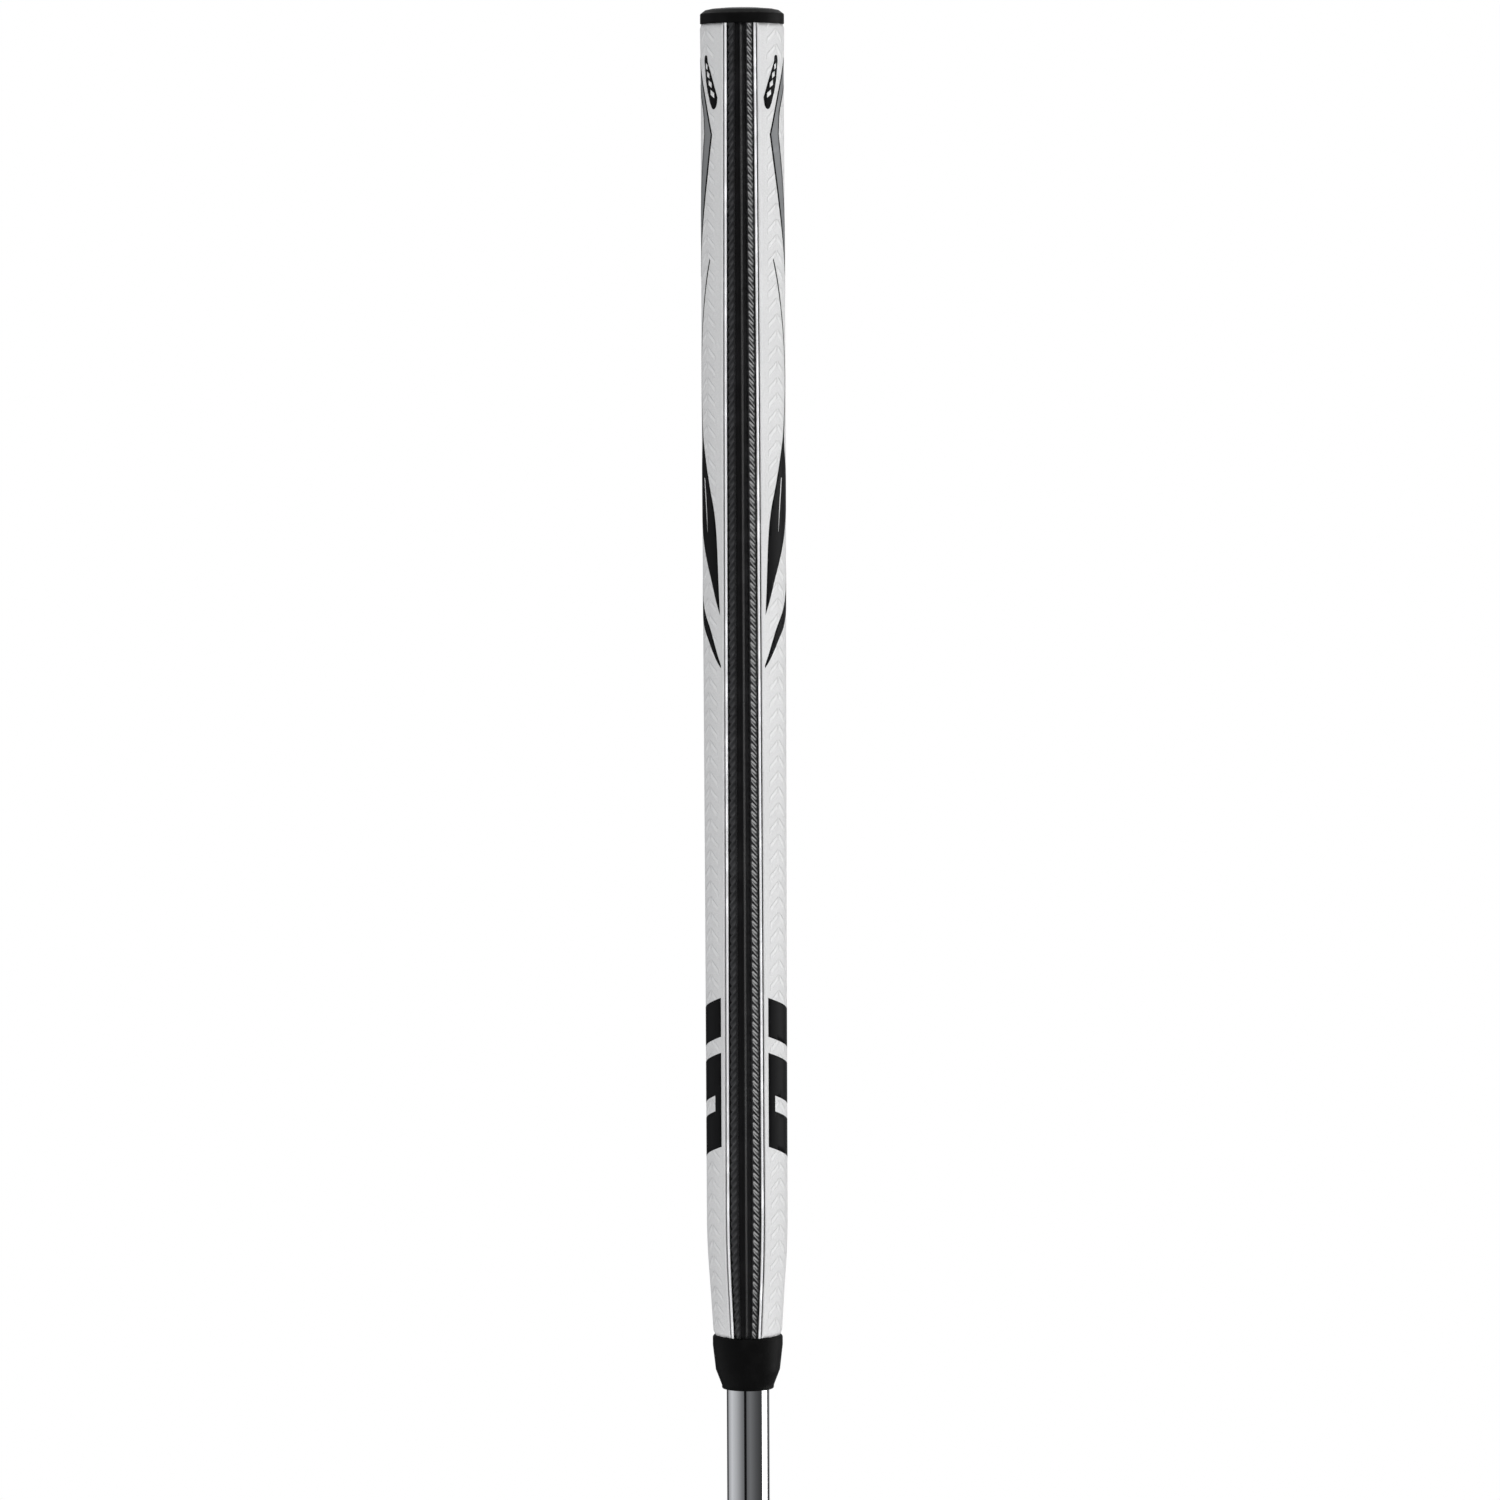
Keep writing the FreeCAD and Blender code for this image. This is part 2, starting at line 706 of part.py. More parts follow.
def make_face_insert():
    body = new_body("face_insert")
    outline = draw(body, "YZ_Plane", insert_outline("0"), FACE)
    pad(body, outline, "insert_thickness")
    soften(body, lambda edge: insert_corner_edge(edge, "0"), "insert_corner")
    half = "insert_length"
    middle = "(head_height + sole_relief) / 2"
    for k in range(SCORE_LINES):
        low = f"{middle} + score_pitch * {k - (SCORE_LINES - 1) / 2} - score_width / 2"
        groove = rectangle(f"-{half}", half, low, f"{low} + score_width")
        pocket(body, draw(body, "YZ_Plane", groove, f"{FACE} + score_depth"), "score_depth + 1")
    return body


def make_insert_backing():
    body = new_body("insert_backing")
    outline = draw(body, "YZ_Plane", insert_outline("0"), f"{FACE} + insert_thickness")
    pad(body, outline, "backing_thickness")
    soften(body, lambda edge: insert_corner_edge(edge, "0"), "insert_corner")
    return body


def sight_line_rows():
    return [("0", "line_length"), ("line_spacing", "side_line_length"), ("-line_spacing", "side_line_length")]


def sight_line_outline(y, length):
    start = f"{BLOCK_BACK} + line_front_gap"
    return rectangle(start, f"{start} + {length}", f"{y} - line_width / 2", f"{y} + line_width / 2")


def make_sight_lines():
    lines = []
    for number, (y, length) in enumerate(sight_line_rows(), start=1):
        line = new_body(f"sight_line_{number}")
        outline = draw(line, "XY_Plane", sight_line_outline(y, length), "rail_height - line_depth")
        pad(line, outline, "line_depth")
        lines.append(line)
    return group("sight_lines", lines)


def make_sole_plate():
    body = new_body("sole_plate")
    outline = rectangle("-plate_length / 2", "plate_length / 2", "-plate_width / 2", "plate_width / 2")
    pad(body, draw(body, "XY_Plane", outline), "plate_thickness")
    soften(body, lambda edge: plate_corner_edge(edge, "0"), "plate_corner")
    holes = draw_circles(body, "XY_Plane", plate_screw_spots(), "plate_screw_radius + bond_gap")
    pocket(body, holes, None, True)
    heads = draw_circles(body, "XY_Plane", plate_screw_spots(), "plate_screw_head + bond_gap")
    pocket(body, heads, "plate_screw_head - plate_screw_radius", True)
    return body


def make_plate_screws():
    """Four flat-headed screws with a hexagonal key socket."""
    screws = []
    head = "(plate_screw_head - plate_screw_radius)"
    for number, (x, y) in enumerate(plate_screw_spots(), start=1):
        screw = new_body(f"plate_screw_{number}")
        spin(screw, [
            ("0", "0"),
            ("plate_screw_head", "0"),
            ("plate_screw_head", head),
            ("plate_screw_radius", head),
            ("plate_screw_radius", "plate_screw_length - plate_screw_recess"),
            ("0", "plate_screw_length - plate_screw_recess"),
        ])
        pocket(screw, draw(screw, "XY_Plane", hexagon("plate_screw_key")), "plate_screw_key_depth", True)
        put(screw, x, y, "0")
        screws.append(screw)
    return group("sole_plate_screws", screws)


def make_sole_weight(label, side):
    body = new_body(label)
    low = "sole_relief + weight_recess"
    spin(body, [
        ("0", low),
        ("weight_radius - plug_head_bevel", low),
        ("weight_radius", f"{low} + plug_head_bevel"),
        ("weight_radius", WEIGHT_FLOOR),
        ("weight_shank_radius", WEIGHT_FLOOR),
        ("weight_shank_radius", f"{WEIGHT_FLOOR} + weight_shank"),
        ("0", f"{WEIGHT_FLOOR} + weight_shank"),
    ])
    pocket(body, draw(body, "XY_Plane", hexagon("key_size"), low), "key_depth", True)
    put(body, "weight_behind", f"{side} * weight_across", "0")
    return body


def make_sole_seal(label, side):
    seal = make_seal(label, "weight_seal_radius", "weight_seal_section")
    put(seal, "weight_behind", f"{side} * weight_across", f"{WEIGHT_FLOOR} + weight_seal_section + seal_gap")
    return seal


# ---------------------------------------------------------------- neck and ferrule

def cylinder(label, radius, height):
    rod = doc.addObject("Part::Cylinder", label)
    bind(rod, "Radius", radius)
    bind(rod, "Height", height)
    return rod


def make_neck():
    """A bent neck: an upright post, a leaning tube and a ball where they meet."""
    post = cylinder("neck_post", "neck_radius", "neck_bend - head_height + neck_seat")
    put(post, NECK_X, NECK_Y, "head_height - neck_seat")
    tube = cylinder("neck_tube_form", "neck_radius", "neck_tube")
    lean(tube, along=NECK_BEND)
    ball = doc.addObject("Part::Sphere", "neck_bend_ball")
    bind(ball, "Radius", "neck_radius")
    put(ball, NECK_X, NECK_Y, "neck_bend")
    bore = cylinder("hosel_bore", "tip_radius + bond_gap", "hosel_depth + 1")
    lean(bore, along=TIP)
    thread = cylinder("neck_thread", "neck_screw_radius + bond_gap", "neck_screw_grip + 1")
    put(thread, NECK_X, NECK_Y, "head_height - neck_seat - 1")
    lower = boolean("Fuse", "neck_lower", post, ball)
    whole = boolean("Fuse", "neck_whole", lower, tube)
    bored = boolean("Cut", "bored_neck", whole, bore)
    return boolean("Cut", "hosel_neck", bored, thread)


def make_neck_screw():
    body = new_body("neck_screw")
    low = "neck_screw_shoulder - neck_screw_head_length"
    top = "head_height - neck_seat + neck_screw_grip - bond_gap"
    spin(body, [
        ("0", low),
        ("neck_screw_head", low),
        ("neck_screw_head", "neck_screw_shoulder"),
        ("neck_screw_radius", "neck_screw_shoulder"),
        ("neck_screw_radius", top),
        ("0", top),
    ])
    pocket(body, draw(body, "XY_Plane", hexagon("neck_screw_head"), low), "neck_screw_key_depth", True)
    put(body, NECK_X, NECK_Y, "0")
    return body


def make_ferrule():
    body = new_body("shaft_ferrule", leaning=True)
    top = f"{NECK_MOUTH} + ferrule_length"
    spin(body, [
        ("tip_radius + bond_gap", NECK_MOUTH),
        ("neck_radius", NECK_MOUTH),
        ("neck_radius", f"{NECK_MOUTH} + ferrule_length / 4"),
        ("ferrule_top_radius", top),
        ("tip_radius + bond_gap", top),
    ])
    return body


# ---------------------------------------------------------------- build and write

nodes = [
    make_shaft(),
    make_tape(),
    *make_grip(),
    make_end_cap(),
    make_collar(),
    make_butt_sleeve(),
    make_counterweight(),
    make_butt_seal(),
    make_neck(),
    make_neck_screw(),
    make_ferrule(),
    make_head_body(),
    make_face_insert(),
    make_insert_backing(),
    make_sight_lines(),
    make_sole_plate(),
    make_plate_screws(),
    make_sole_weight("heel_weight", "-1"),
    make_sole_weight("toe_weight", "1"),
    make_sole_seal("heel_weight_seal", "-1"),
    make_sole_seal("toe_weight_seal", "1"),
]
doc.recompute()
for item in doc.Objects:
    if "Invalid" in item.State or "Error" in item.State:
        raise RuntimeError(f"{item.Label} failed: {item.State}")
for node in nodes:
    if node.Shape.isNull() or not node.Shape.isValid() or not node.Shape.Solids:
        raise RuntimeError(f"{node.Label} has no sound solid")
os.makedirs("parts", exist_ok=True)
for node in nodes:
    node.Shape.exportStep(f"parts/{node.Label}.step")
    print(f"{node.Label:22s} {len(node.Shape.Solids)} solids {node.Shape.Volume:12.2f} mm3")
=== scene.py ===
"""Looks for a counterbalanced mallet putter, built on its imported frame."""

import bmesh
import bpy
import json
import math
from functools import lru_cache
from bpy.props import FloatProperty, FloatVectorProperty, IntProperty, PointerProperty
from mathutils import Matrix, Vector


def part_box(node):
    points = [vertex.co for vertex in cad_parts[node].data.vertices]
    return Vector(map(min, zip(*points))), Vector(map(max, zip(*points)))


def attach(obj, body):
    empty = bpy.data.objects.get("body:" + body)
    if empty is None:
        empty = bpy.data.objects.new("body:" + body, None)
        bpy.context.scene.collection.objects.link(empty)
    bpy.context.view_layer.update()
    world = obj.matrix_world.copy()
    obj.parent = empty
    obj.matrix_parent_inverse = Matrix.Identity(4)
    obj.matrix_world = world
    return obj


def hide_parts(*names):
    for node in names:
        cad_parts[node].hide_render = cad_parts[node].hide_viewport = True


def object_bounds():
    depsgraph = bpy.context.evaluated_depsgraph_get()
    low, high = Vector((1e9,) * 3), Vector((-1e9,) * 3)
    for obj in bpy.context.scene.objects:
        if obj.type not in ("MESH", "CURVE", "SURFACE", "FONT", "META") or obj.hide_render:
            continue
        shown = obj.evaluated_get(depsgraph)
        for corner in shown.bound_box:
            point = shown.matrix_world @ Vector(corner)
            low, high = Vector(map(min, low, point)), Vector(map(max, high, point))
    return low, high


bl_info = {
    "name": "Mallet Putter Looks",
    "version": (1, 0, 0),
    "blender": (4, 5, 0),
    "location": "View3D > Sidebar > Putter",
    "description": "Dresses the packed putter with its grip, prints, shaft, head finishes and studio",
    "category": "Object",
}

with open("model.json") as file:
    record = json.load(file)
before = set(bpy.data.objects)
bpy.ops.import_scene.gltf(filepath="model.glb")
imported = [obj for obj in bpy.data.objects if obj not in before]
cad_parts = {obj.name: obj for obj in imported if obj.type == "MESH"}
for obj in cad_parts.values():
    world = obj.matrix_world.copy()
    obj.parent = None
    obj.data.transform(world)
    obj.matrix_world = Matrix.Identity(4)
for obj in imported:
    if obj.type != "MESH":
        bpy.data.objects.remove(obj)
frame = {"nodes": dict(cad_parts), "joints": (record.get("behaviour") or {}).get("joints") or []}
CAD_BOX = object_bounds()
CLUB = "club"
MM = 0.001

# the shaft's own frame: X across the grip, Z up the shaft's axis, -Y through the seam strip
SCREW = next(joint for joint in frame["joints"] if joint["name"] == "counterweight_turn")
SCREW_SPOT = Vector(SCREW["pos_m"])
UP_SHAFT = Vector(SCREW["axis"]).normalized()
GROUND = SCREW_SPOT - UP_SHAFT * (SCREW["pos_m"][2] / UP_SHAFT.z)
ACROSS = Vector((1, 0, 0))
SHAFT_FRAME = Matrix((ACROSS, UP_SHAFT.cross(ACROSS), UP_SHAFT)).transposed().to_4x4()
SHAFT_FRAME.translation = GROUND
LEAN = UP_SHAFT.angle(Vector((0, 0, 1)))


# ---------------------------------------------------------------- reading the frame

def local_spots(node):
    """A node's vertices in the shaft's frame."""
    into = SHAFT_FRAME.inverted()
    return [into @ vertex.co for vertex in frame["nodes"][node].data.vertices]


def rings(node):
    """Each height where a turned piece has vertices, with their distances from its axis."""
    found = {}
    for spot in local_spots(node):
        found.setdefault(round(spot.z, 5), []).append(spot.xy.length)
    return sorted(found.items())


BUTT = rings("counterweight")[-1][0]
MOUTH = rings("grip_collar")[0][0]
WRAP_RINGS = [(height, max(radii)) for height, radii in rings("grip_wrap") if max(radii) - min(radii) > MM]
WRAP_END, WRAP_TOP = WRAP_RINGS[0][0], WRAP_RINGS[-1][0]
THUMB_FLAT = max(spot.y for spot in local_spots("grip_wrap"))
STRIP_EDGE = sorted({(round(spot.z, 4), round(abs(spot.x), 5)) for spot in local_spots("seam_strip")})


def between(table, height):
    """The table's second column at a height, straight between its rows."""
    low = max((row for row in table if row[0] <= height), default=table[0])
    high = min((row for row in table if row[0] >= height), default=table[-1])
    if high[0] - low[0] < 1e-9:
        return low[1]
    return low[1] + (high[1] - low[1]) * (height - low[0]) / (high[0] - low[0])


def strip_rows():
    """Half the seam strip's width at each height where the strip changes."""
    widest = {}
    for height, half in STRIP_EDGE:
        widest[height] = max(half, widest.get(height, 0))
    edge = 0.6 * max(widest.values())
    return [(height, half) for height, half in sorted(widest.items()) if half > edge]


STRIP_ROWS = strip_rows()


def eased(table, height, reach):
    """The table at a height on the wrap, with its corners rounded over a reach each way."""
    height = min(max(height, WRAP_END), WRAP_TOP)
    room = min(reach, height - table[0][0], table[-1][0] - height)
    return sum(between(table, height + room * k / 3) for k in range(-3, 4)) / 7


RADIUS_EASE = 7 * MM
STRIP_EASE = 12 * MM
SEAM_SPREAD = 0.3 * MM  # how far the rubber presses the seam open on each side


@lru_cache(maxsize=None)
def grip_radius(height):
    return eased(WRAP_RINGS, height, RADIUS_EASE)


@lru_cache(maxsize=None)
def strip_half(height):
    return eased(STRIP_ROWS, height, STRIP_EASE) + SEAM_SPREAD


FLAT_BLEND = 0.35 * MM  # how softly the round turns into the thumb flat


def on_grip(angle, height, lift=0.0):
    """A point of the grip's surface, turned from the seam, in the shaft's frame."""
    radius = grip_radius(height) + lift
    back = -radius * math.cos(angle)
    past = back - THUMB_FLAT - lift
    if past > -6 * FLAT_BLEND:
        back = THUMB_FLAT + lift - FLAT_BLEND * math.log(math.exp(-past / FLAT_BLEND) + 1)
    return Vector((radius * math.sin(angle), back, height))


def up_wrap(along):
    """A height on the wrap, from its lower end at -1 to its top at 1."""
    return WRAP_END + (WRAP_TOP - WRAP_END) * (along + 1) / 2


# ---------------------------------------------------------------- sizes and colours a user may change

class GripSizes(bpy.types.PropertyGroup):
    hem_width: FloatProperty(name="Hem width", description="Width of the wrap's raised edge at the seam",
                             default=1.0 * MM, unit="LENGTH")
    hem_height: FloatProperty(name="Hem height", description="How far the wrap's edge stands up",
                              default=0.16 * MM, unit="LENGTH")
    chevron_pitch: FloatProperty(name="Chevron pitch", description="Distance between embossed chevrons",
                                 default=4.9 * MM, unit="LENGTH")
    chevron_width: FloatProperty(name="Chevron row width", description="Width of one row of chevrons",
                                 default=8.4 * MM, unit="LENGTH")
    chevron_depth: FloatProperty(name="Chevron depth", description="Depth of the embossing",
                                 default=0.22 * MM, unit="LENGTH")
    braid_pitch: FloatProperty(name="Braid pitch", description="Length of one twist of the strip's braid",
                               default=2.63 * MM, unit="LENGTH")
    braid_height: FloatProperty(name="Braid height", description="How far the braid stands up",
                                default=0.75 * MM, unit="LENGTH")
    strand_depth: FloatProperty(name="Strand depth", description="How deep the grooves between strands are",
                                default=0.60 * MM, unit="LENGTH")
    braid_slant: FloatProperty(name="Braid slant", description="How far a strand runs down as it crosses",
                               default=1.05)
    cord_start: FloatProperty(name="Cord start", description="Strip's middle to a cord's inner side",
                              default=1.9 * MM, unit="LENGTH")
    cord_end: FloatProperty(name="Cord end", description="Strip's middle to a cord's outer side",
                            default=4.45 * MM, unit="LENGTH")
    strip_half: FloatProperty(name="Strip half width", description="Half the strip where it is widest",
                              default=max(half for _, half in STRIP_ROWS), unit="LENGTH")
    turned_segments: IntProperty(name="Turned segments", description="Sides of a turned piece", default=96)
    print_lift: FloatProperty(name="Print thickness", description="How far a print stands on the wrap",
                              default=0.035 * MM, unit="LENGTH")
    white: FloatVectorProperty(name="Wrap white", description="Colour of the wrap", subtype="COLOR",
                               size=3, default=(0.80, 0.80, 0.80))
    black: FloatVectorProperty(name="Print black", description="Colour of the prints and the strip",
                               subtype="COLOR", size=3, default=(0.006, 0.006, 0.0065))
    grey: FloatVectorProperty(name="Print grey", description="Colour of the wedge print", subtype="COLOR",
                              size=3, default=(0.235, 0.24, 0.245))


class HeadSizes(bpy.types.PropertyGroup):
    body: FloatVectorProperty(name="Body", description="Colour of the anodised head", subtype="COLOR",
                              size=3, default=(0.022, 0.024, 0.027))
    steel: FloatVectorProperty(name="Steel", description="Colour of the bare steel pieces", subtype="COLOR",
                               size=3, default=(0.56, 0.565, 0.575))
    grain: FloatProperty(name="Blast grain", description="Size of the blasted surface's grain",
                         default=0.35 * MM, unit="LENGTH")


class StudioSizes(bpy.types.PropertyGroup):
    distance: FloatProperty(name="Camera distance", description="Camera to the grip's axis",
                            default=2.2, unit="LENGTH")
    eye_height: FloatProperty(name="Eye height", description="Camera's height, down from the butt",
                              default=0.092, unit="LENGTH")
    yaw: FloatProperty(name="Turn", description="How far the camera stands round the grip",
                       default=math.radians(3.0), subtype="ANGLE")
    roll: FloatProperty(name="Roll", description="How far the camera leans",
                        default=math.radians(-0.25), subtype="ANGLE")
    view_width: FloatProperty(name="View width", description="What the camera frames at the grip's axis",
                              default=0.4677, unit="LENGTH")
    view_height: FloatProperty(name="View height", description="Middle of the view, down from the butt",
                               default=0.23096, unit="LENGTH")
    side_step: FloatProperty(name="Side step", description="Middle of the view, right of the axis",
                             default=1.5 * MM, unit="LENGTH")
    key: FloatProperty(name="Key light", description="Power of the soft light at the right", default=11.4)
    fill: FloatProperty(name="Fill light", description="Power of the soft light at the left", default=0.15)
    edge: FloatProperty(name="Edge light", description="Power of the light that shines on edges", default=9)
    glint: FloatProperty(name="Braid light", description="Power of the light on the braid", default=24)
    ceiling: FloatProperty(name="Ceiling light", description="Power of the light overhead", default=20)


# ---------------------------------------------------------------- shader expressions

class Reading:
    """A shader value. Sums written on it add Math nodes to its board."""

    def __init__(self, board, socket):
        self.board = board
        self.socket = socket

    def math(self, operation, *others):
        return self.board.sum(operation, self, *others)

    def __add__(self, other):
        return self.math("ADD", other)

    def __radd__(self, other):
        return self.board.sum("ADD", other, self)

    def __sub__(self, other):
        return self.math("SUBTRACT", other)

    def __rsub__(self, other):
        return self.board.sum("SUBTRACT", other, self)

    def __mul__(self, other):
        return self.math("MULTIPLY", other)

    def __rmul__(self, other):
        return self.board.sum("MULTIPLY", other, self)

    def __truediv__(self, other):
        return self.math("DIVIDE", other)

    def __rtruediv__(self, other):
        return self.board.sum("DIVIDE", other, self)

    def __mod__(self, other):
        return self.math("FLOORED_MODULO", other)

    def __rmod__(self, other):
        return self.board.sum("FLOORED_MODULO", other, self)

    def __neg__(self):
        return self.math("MULTIPLY", -1)

    def __abs__(self):
        return self.math("ABSOLUTE")

    def rise(self, low, high):
        """0 below low, 1 above high and a smooth rise between them."""
        return self.board.add("ShaderNodeMapRange", {"interpolation_type": "SMOOTHSTEP"},
                              {0: self, 1: low, 2: high, 3: 0.0, 4: 1.0})


def opaque(color):
    """A colour for a socket: a reading as it is, or three numbers with an alpha of 1."""
    return color if isinstance(color, Reading) else (*color, 1.0)


def scaled(color, share, more=0.0):
    return [channel * share + more for channel in color]


class Board:
    """A node tree, and the one way in which nodes are added to it."""

    def __init__(self, tree):
        self.tree = tree

    def add(self, kind, settings=None, sockets=None, output=0):
        """Adds a node, its settings first and then its sockets' values or links."""
        node = self.tree.nodes.new(kind)
        for name, value in (settings or {}).items():
            if name == "stops":
                self.set_stops(node.color_ramp.elements, value)
            else:
                setattr(node, name, value)
        for key, value in (sockets or {}).items():
            self.plug(node.inputs[key], value)
        return Reading(self, node.outputs[output]) if node.outputs else node

    def plug(self, socket, value):
        if isinstance(value, Reading):
            self.tree.links.new(value.socket, socket)
        else:
            socket.default_value = value

    def set_stops(self, stops, wanted):
        while len(stops) < len(wanted):
            stops.new(0.5)
        for stop, (position, color) in zip(stops, wanted):
            stop.position = position
            stop.color = color

    def sum(self, operation, *values):
        return self.add("ShaderNodeMath", {"operation": operation}, dict(enumerate(values)))

    def turned_spots(self, vector, middle, turn):
        """Coordinates measured from a middle, in axes turned by the given angles."""
        return self.add("ShaderNodeMapping", {"vector_type": "TEXTURE"},
                        {"Vector": vector, "Location": middle, "Rotation": turn})

    def parts(self, vector):
        split = self.add("ShaderNodeSeparateXYZ", sockets={0: vector})
        return [Reading(self, socket) for socket in split.socket.node.outputs]

    def stretched(self, vector, scale):
        return self.add("ShaderNodeVectorMath", {"operation": "MULTIPLY"}, {0: vector, 1: scale})

    def noise(self, vector, size, detail=2.0, roughness=0.5):
        return self.add("ShaderNodeTexNoise", {}, {"Vector": vector, "Scale": 1 / size, "Detail": detail,
                                                   "Roughness": roughness})

    def cells(self, vector, size):
        return self.add("ShaderNodeTexVoronoi", {"feature": "F1"}, {"Vector": vector, "Scale": 1 / size})

    def mix(self, share, low, high):
        """A colour between two others."""
        ends = {0: share, 6: opaque(low), 7: opaque(high)}
        return self.add("ShaderNodeMix", {"data_type": "RGBA"}, ends, output=2)


class Finish(Board):
    """A material's nodes round one Principled shader."""

    def __init__(self, name, color, roughness=0.5, metallic=0.0, coat=0.0, specular=0.5):
        self.material = bpy.data.materials.new(name)
        self.material.use_nodes = True
        super().__init__(self.material.node_tree)
        self.shader = next(n for n in self.tree.nodes if n.type == "BSDF_PRINCIPLED")
        self.feed("Base Color", opaque(color))
        self.feed("Roughness", roughness)
        self.feed("Metallic", metallic)
        self.feed("Coat Weight", coat)
        self.feed("Specular IOR Level", specular)

    def feed(self, name, value):
        self.plug(self.shader.inputs[name], value)

    def spots(self):
        return self.add("ShaderNodeTexCoord", output=3)

    def shaft_spots(self):
        """Object coordinates turned into the shaft's frame."""
        return self.turned_spots(self.spots(), GROUND, (LEAN, 0, 0))

    def bump(self, height, distance, strength=1.0):
        self.feed("Normal", self.add("ShaderNodeBump", {}, {"Height": height, "Distance": distance,
                                                            "Strength": strength}))


WRAP_ARC = 12.9 * MM  # radius at which the embossing keeps its true width
EMBOSSED = (0.62, 2.6)  # the embossed field's edges, in radians round from the seam


def soft_wrap(name, color, grip):
    """Embossed synthetic leather: rows of nested chevrons over a fine pebble, with painted shade in the low
    ground between the chevrons.
    """
    board = Finish(name, color, roughness=0.5, specular=0.12)
    spots = board.shaft_spots()
    across, depth, height = board.parts(spots)
    angle = across.math("ARCTAN2", -depth)
    down = BUTT - height
    half_row, half_pitch = grip.chevron_width / 2, grip.chevron_pitch / 2
    row = abs(angle * WRAP_ARC % grip.chevron_width - half_row)
    wave = abs((down - row * 0.9) % grip.chevron_pitch - half_pitch)
    ridge = 1 - wave.rise(0.55 * MM, 1.15 * MM)
    edge = row.rise(0.1 * MM, 0.5 * MM) * (1 - row.rise(half_row - 0.6 * MM, half_row - 0.2 * MM))
    start, finish = EMBOSSED
    field = abs(angle).rise(start, start + 0.1) * (1 - abs(angle).rise(finish - 0.15, finish))
    chevrons = ridge * edge * field
    pebble = board.cells(spots, 0.55 * MM)
    board.bump(chevrons + pebble * 0.22, grip.chevron_depth)
    soil = board.noise(spots, 18 * MM, 4.0)
    # painted shade: the wrap darkens away from the raised chevrons, in the low ground between them; the soil
    # noise adds real soiling and the pebble adds grain
    hollow = (1 - chevrons) * 0.35 + soil * 0.45 + pebble * 0.30
    board.feed("Base Color", board.mix(hollow.rise(0.3, 0.95), color, scaled(color, 0.87)))
    board.feed("Roughness", 0.46 + soil * 0.12)
    return board.material


def moulded_rubber(name, color, roughness=0.42, grain=0.28 * MM, depth=0.03 * MM, specular=0.5):
    """Moulded rubber or plastic: a fine grain with a dusty bloom in patches."""
    board = Finish(name, color, roughness=roughness, specular=specular)
    spots = board.spots()
    board.bump(board.noise(spots, grain), depth, 0.8)
    bloom = board.noise(spots, 9 * MM, 3.0)
    board.feed("Base Color", board.mix(bloom.rise(0.45, 0.75), color, scaled(color, 1.5, 0.002)))
    board.feed("Roughness", roughness - 0.06 + bloom * 0.12)
    return board.material


def screen_ink(name, color):
    """A satin print with a slight orange-peel surface."""
    board = Finish(name, color, roughness=0.4, specular=0.06)
    spots = board.spots()
    board.bump(board.noise(spots, 0.9 * MM), 0.012 * MM, 0.7)
    wear = board.noise(spots, 5 * MM, 4.0)
    board.feed("Base Color", board.mix(wear.rise(0.55, 0.8), color, scaled(color, 1.3, 0.001)))
    board.feed("Roughness", 0.34 + wear * 0.12)
    return board.material


def bright_chrome(name):
    """Plated steel with faint draw marks along the tube and a little haze."""
    board = Finish(name, (0.86, 0.865, 0.875), roughness=0.06, metallic=1.0)
    spots = board.shaft_spots()
    board.bump(board.noise(board.stretched(spots, (1, 1, 0.004)), 0.35 * MM), 0.0015 * MM, 0.5)
    board.feed("Roughness", 0.045 + board.noise(spots, 30 * MM, 4.0) * 0.05)
    return board.material


def brushed_metal(name, color, along=(0.02, 1, 1), roughness=0.3):
    """Bare metal brushed along the axis that is squeezed."""
    board = Finish(name, color, roughness=roughness, metallic=1.0)
    spots = board.spots()
    lines = board.noise(board.stretched(spots, along), 0.25 * MM, 3.0)
    board.bump(lines, 0.01 * MM, 0.6)
    board.feed("Base Color", board.mix(lines.rise(0.35, 0.7), color, scaled(color, 0.86)))
    board.feed("Roughness", roughness - 0.08 + board.noise(spots, 14 * MM, 3.0) * 0.16)
    return board.material


RING_PITCH = 0.22 * MM


def turned_metal(name, color, middle, up, roughness=0.24):
    """Metal with fine rings about an axis through the given point."""
    board = Finish(name, color, roughness=roughness, metallic=1.0)
    turn = Vector((0, 0, 1)).rotation_difference(up).to_euler()
    spots = board.turned_spots(board.spots(), middle, turn)
    x, y, _ = board.parts(spots)
    radius = (x * x + y * y).math("SQRT")
    board.bump(abs(radius % RING_PITCH - RING_PITCH / 2) / (RING_PITCH / 2), 0.006 * MM, 0.7)
    patches = board.noise(spots, 6 * MM, 3.0)
    board.feed("Base Color", board.mix(patches.rise(0.4, 0.75), color, scaled(color, 0.82)))
    board.feed("Roughness", roughness - 0.05 + patches * 0.14)
    return board.material


def blasted_anodising(name, color, grain):
    """A dark anodised finish over a bead-blasted surface."""
    board = Finish(name, color, roughness=0.42, metallic=0.85, coat=0.08)
    spots = board.spots()
    pits = board.noise(spots, grain, 3.0, 0.6)
    board.bump(pits, 0.03 * MM, 0.55)
    board.feed("Base Color", board.mix(pits.rise(0.45, 0.75), color, scaled(color, 1.7, 0.006)))
    board.feed("Roughness", 0.36 + board.noise(spots, 16 * MM, 3.0) * 0.14)
    return board.material


SCALLOP_PITCH = 1.1 * MM


